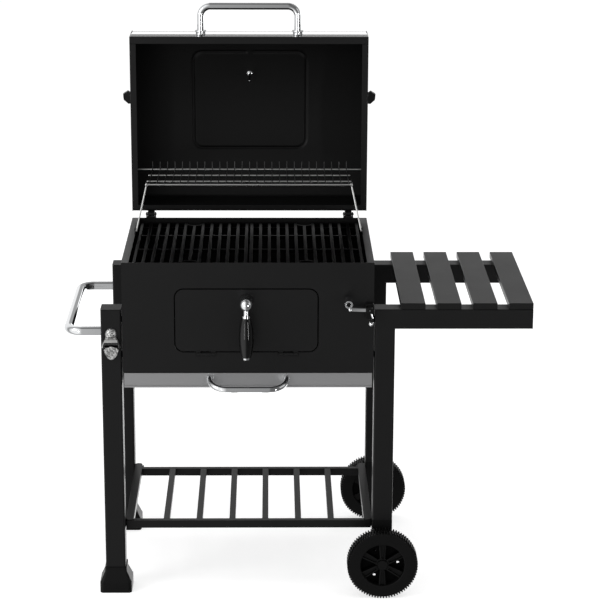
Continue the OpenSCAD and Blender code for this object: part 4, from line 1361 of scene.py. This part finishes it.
    def bar(self) -> None:
        """Bend the chromed handle."""
        height, span, reach, bend, radius = self.handle
        foot, front = self.front + self.drawn, self.front - reach
        ends = ((-span, foot), (-span, front), (span, front), (span, foot))
        chrome_bar("lid_handle", [open_lid(x, y, self.rim + height) for x, y in ends], bend, radius)

    def build(self) -> None:
        """Build and dress the lid with what is fixed to it."""
        self.shell()
        self.side("lid_left_side", -1.0)
        self.side("lid_right_side", 1.0)
        self.bar()
        self.draw_in(soft_copy("handle_rosettes", 0.7).data)
        soft_copy("hinge_lid_leaves", 0.4)
        soft_copy("vent_rivets", 0.3)
        self.vent("vent_left")
        self.vent("vent_right")


@dataclass
class Thermometer:
    """Round gauge in the lid's roof.

    Attributes:
        tilt: Lean of the gauge's axis, in degrees.
        spot: Place of the gauge in the closed lid.
        face: Lower and upper height of the print above the gauge's foot.
        start: Angle of the scale's first mark, in degrees.
        sweep: Angle of the scale, in degrees.
        marks: Number, inner end, outer end and width of the fine and of the long marks.
    """

    tilt: float = 10.69
    spot: Flat = (-115.0, 1051.2)
    face: Flat = (4.9, 5.12)
    start: float = -45.0
    sweep: float = 270.0
    marks: tuple[tuple[int, float, float, float], ...] = ((41, 20.5, 23.0, 0.4), (9, 18.0, 23.0, 0.9))

    def scale(self) -> None:
        """Print the scale's marks round the face."""
        rings = []
        for count, inner, outer, width in self.marks:
            half, step = width / 2, math.radians(self.sweep) / (count - 1)
            mark = slab(rectangle(inner, outer, -half, half), *self.face)
            turn = math.radians(self.start)
            rings.append(repeated(fan_tree(), mark, PRINT, Count=count, Start=turn, Step=step))
        mesh = joined(*rings)
        lean = Matrix.Rotation(math.radians(self.tilt), 4, "X")
        mesh.transform(Matrix.Translation(open_lid(0.0, *self.spot)) @ Axis.BACKWARD.value @ lean)
        finished("gauge_scale", mesh, (PRINT,), "lid", "dial", crease=None)

    def build(self) -> None:
        """Dress the gauge and print its scale."""
        soft_copy("thermometer_case", 0.6)
        soft_copy("thermometer_nut", 0.6)
        self.scale()


@dataclass
class WarmingRack:
    """Wire rack that lifts with the lid.

    Attributes:
        rods, height: Y, radius and half length of each cross rod, and the rods' height.
        wires, half: Number of wires, and distance of the outermost wire from the middle.
        wire_r, wire_z, bend: Radius of a wire, its height above the rods' middle, and radius of its bend.
        overhang, tip: Distance that the wires run on before the front rod, and height of their tips.
        head, foot: Eye and pin of the right leg, in the trolley's drawing.
        leg_r, slack: Radius of a leg's wire, and its start below the eye's middle.
        eye, eye_edge: Inner radius, outer radius and half width of the eye, and rounding of its edges.
        pin, ear: Radius of the pin in the firebox's ear, and distance of its two ends from the middle.
    """

    rods: tuple[Spot, ...] = (
        (280.0, 2.5, 309.0), (208.7, 2.0, 263.0), (139.0, 2.0, 263.0), (100.3, 2.5, 265.5),
    )
    height: float = 975.7
    wires: int = 27
    half: float = 255.0
    wire_r: float = 1.2
    wire_z: float = 2.0
    bend: float = 4.0
    overhang: float = 1.5
    tip: float = 21.0
    head: Spot = (261.5, 100.3, 975.7)
    foot: Spot = (286.0, 47.8, 867.5)
    leg_r: float = 2.0
    slack: float = 4.0
    eye: Spot = (2.85, 5.4, 2.0)
    eye_edge: float = 0.9
    pin: float = 2.5
    ear: Flat = (284.2, 290.7)

    def wire(self) -> BMesh:
        """One wire with its turned-up tip, in the plane X = 0 of the part's frame.

        Returns:
            The shape.
        """
        front, rear, level = self.rods[-1][0], self.rods[0][0], self.height + self.wire_z
        ends = ((front - self.overhang, level), (rear, level), (rear, self.height + self.tip))
        middle = Vector((TROLLEY_MIDDLE.x, 0.0, 0.0))
        path = bent_path([place(0, y, z) + middle for y, z in ends], self.bend, steps=4)
        return tube(path, self.wire_r, 8)

    def rack(self) -> None:
        """Set out the wires on their rods."""
        first, last = ((side * self.half * MM - TROLLEY_MIDDLE.x, 0.0, 0.0) for side in (-1, 1))
        wires = repeated(row_tree(), self.wire(), WIRE, Count=self.wires, First=first, Last=last)
        bars = [
            to_mesh(tube([place(-x, y, self.height), place(x, y, self.height)], r, 16, True))
            for y, r, x in self.rods
        ]
        thin = len(wires.polygons)
        stand_in(
            "rack_wirework", joined(wires, *bars), "warming_rack", WIRE, ZINC,
            crease=ROUNDED_EDGE, pick=lambda face: int(face.index >= thin),
        )

    def leg(self, node: str, sign: float) -> None:
        """Bend one leg of round wire, with an eye on the front rod and a pin in the firebox's ear.

        Args:
            node: The leg's solid.
            sign: 1 for the right leg, -1 for the left.
        """
        (head_x, *head), (foot_x, *foot) = self.head, self.foot
        top, bottom = place(sign * head_x, *head), place(sign * foot_x, *foot)
        slack = (bottom - top).normalized() * self.slack * MM
        wire = tube([top + slack, bottom], self.leg_r, 16, True)
        bore, rim, deep = self.eye
        eye = turned(rectangle(bore, rim, -deep, deep), self.eye_edge, 28)
        eye.transform(Matrix.Translation(top) @ Matrix.Rotation(math.radians(90), 4, "Y"))
        pin = tube([place(sign * x, *foot) for x in self.ear], self.pin, 16)
        mesh = joined(to_mesh(wire), to_mesh(eye), to_mesh(pin))
        stand_in(node + "_bent", mesh, node, ZINC, crease=ROUNDED_EDGE)

    def build(self) -> None:
        """Build the rack and its legs."""
        self.rack()
        self.leg("rack_leg_left", -1.0)
        self.leg("rack_leg_right", 1.0)


# Studio


@dataclass(frozen=True)
class Lamp:
    """A soft rectangular lamp that looks at the grill.

    Attributes:
        name: Name of the lamp.
        at: Position in metres.
        size: Width and height in metres.
        power: Power in watts.
        shows: True for a lamp that reflections show.
        lights: True for a lamp that also lights dull surfaces.
        target: Point that it looks at, in metres.
    """

    name: str
    at: Spot
    size: Flat
    power: float
    shows: bool = True
    lights: bool = True
    target: Spot = (0.0, 0.0, 0.7)

    def hang(self) -> None:
        """Put the lamp into the scene."""
        data = bpy.data.lights.new(self.name, "AREA")
        data.shape = "RECTANGLE"
        data.size, data.size_y = self.size
        data.energy = self.power
        lamp = bpy.data.objects.new(self.name, data)
        lamp.location = self.at
        lamp.visible_glossy = self.shows
        lamp.visible_diffuse = self.lights
        aim = Vector(self.target) - Vector(self.at)
        lamp.rotation_euler = aim.to_track_quat("-Z", "Y").to_euler()
        bpy.context.scene.collection.objects.link(lamp)


@dataclass
class Studio:
    """Camera, floor, lamps and surroundings.

    Attributes:
        eye: Camera position in the trolley's drawing, in millimetres.
        focal, frame: Focal length and width of the photograph, in pixels.
        sensor: Width of the camera's sensor in millimetres.
        yaw, pitch, roll: Turn to the right, tilt down and clockwise turn of the picture, in degrees.
        floor_half: Half the side of the floor in metres.
        lamps: The lamps.
    """

    eye: Spot = (55.15, -5275.46, 2220.0)
    focal: float = 2155.7
    frame: float = 600.0
    sensor: float = 36.0
    yaw: float = 0.813
    pitch: float = 16.09
    roll: float = 0.211
    floor_half: float = 14.0
    lamps: tuple[Lamp, ...] = (
        Lamp("overhead_lamp", (0.0, 0.3, 4.4), (6.0, 5.0), 60.0, shows=False),
        Lamp("left_lamp", (-3.6, -2.4, 2.6), (1.6, 2.4), 40.0),
        Lamp("right_lamp", (3.8, -1.8, 2.4), (2.4, 3.0), 14.0),
        Lamp("left_strip", (-2.2, -4.1, 0.4), (0.26, 2.0), 14.0, lights=False),
        Lamp("right_strip", (2.3, -4.0, 0.4), (0.26, 2.0), 32.0, lights=False),
    )

    def camera(self) -> None:
        """Make the camera at the photograph's viewpoint."""
        turns = ((-self.yaw, "Z"), (90.0 - self.pitch, "X"), (self.roll, "Z"))
        yaw, pitch, roll = (Matrix.Rotation(math.radians(angle), 4, axis) for angle, axis in turns)
        lens = bpy.data.cameras.new("photo_camera")
        lens.sensor_fit = "HORIZONTAL"
        lens.sensor_width = self.sensor
        lens.lens = self.focal * self.sensor / self.frame
        lens.clip_end = 60.0
        made = bpy.data.objects.new("photo_camera", lens)
        made.matrix_world = Matrix.Translation(place(*self.eye)) @ yaw @ pitch @ roll
        bpy.context.scene.collection.objects.link(made)
        bpy.context.scene.camera = made

    def floor(self) -> None:
        """Lay a plain pale floor that keeps the shadow and that no reflection shows."""
        mesh = bpy.data.meshes.new("floor")
        s = self.floor_half
        mesh.from_pydata([(-s, -s, 0.0), (s, -s, 0.0), (s, s, 0.0), (-s, s, 0.0)], [], [(0, 1, 2, 3)])
        floor = new_piece("floor", mesh)
        paint = bpy.data.materials.new("floor_paint")
        paint.use_nodes = True
        tree = paint.node_tree
        rays = add_node(tree, "ShaderNodeLightPath").outputs
        lift = maths(tree, "MULTIPLY_ADD", rays["Is Camera Ray"], 0.65, rays["Is Transmission Ray"])
        takes = {
            "Roughness": 1.0, "Specular IOR Level": 0.0, "Base Color": (*grey(0.82), 1.0),
            "Emission Color": (*grey(1.0), 1.0), "Emission Strength": lift,
        }
        feed(tree, tree.nodes["Principled BSDF"], takes)
        mesh.materials.append(paint)
        floor.visible_glossy = False

    def surroundings(self) -> None:
        """Pale surroundings: white to the eye, and darker behind the camera and overhead in reflections."""
        world = bpy.data.worlds.new("studio")
        bpy.context.scene.world = world
        world.use_nodes = True
        tree = world.node_tree
        where = add_node(tree, "ShaderNodeTexCoord").outputs["Generated"]
        x, y, z = add_node(tree, "ShaderNodeSeparateXYZ", {0: where}).outputs
        depth = ramp(tree, y, (-0.3, 0.4), (0.0, 0.42))
        across = ramp(tree, x, (-0.45, 0.17), (1.15, 0.17))
        front = ramp(tree, y, (-0.3, 0.2), (1.0, 0.0))
        above = ramp(tree, z, (0.86, 0.98), (1.0, 0.4))
        behind = ramp(tree, y, (0.1, 0.6), (0.0, 1.5))
        low = ramp(tree, z, (0.08, 0.14), (1.0, 0.0))
        aside = ramp(tree, x, (-0.1, -0.07), (0.42, 0.0))
        toward = ramp(tree, x, (-0.2, -0.08), (0.3, 1.0))
        pale = maths(tree, "MAXIMUM", maths(tree, "MULTIPLY", low, toward), aside)
        band = maths(tree, "MULTIPLY_ADD", behind, pale, depth)
        both = maths(tree, "MULTIPLY_ADD", across, front, band)
        dimmed = maths(tree, "MULTIPLY", both, above)
        rays = add_node(tree, "ShaderNodeLightPath").outputs
        takes = {"Factor": rays["Is Glossy Ray"], "A": 0.45, "B": dimmed}
        mirrored = add_node(tree, "ShaderNodeMix", takes)
        seen = maths(tree, "MAXIMUM", rays["Is Camera Ray"], rays["Is Transmission Ray"])
        final = add_node(tree, "ShaderNodeMix", {"Factor": seen, "A": mirrored.outputs[0], "B": 1.0})
        takes = {"Color": (*grey(1.0), 1.0), "Strength": final.outputs[0]}
        feed(tree, tree.nodes["Background"], takes)

    def build(self) -> None:
        """Set up the whole studio."""
        bpy.context.scene.view_settings.view_transform = "Standard"
        self.camera()
        self.floor()
        self.surroundings()
        for lamp in self.lamps:
            lamp.hang()


def main() -> None:
    """Build the studio and dress every piece."""
    logging.basicConfig(level=logging.INFO, format="%(name)s: %(message)s")
    Studio().build()
    dress_solids()
    Trolley().build()
    Wheel("front_wheel", Axis.FORWARD, -247.0).build()
    Wheel("rear_wheel", Axis.BACKWARD, 247.0).build()
    Firebox().build()
    Grates().build()
    Lid().build()
    Thermometer().build()
    WarmingRack().build()


if __name__ == "__main__":
    main()
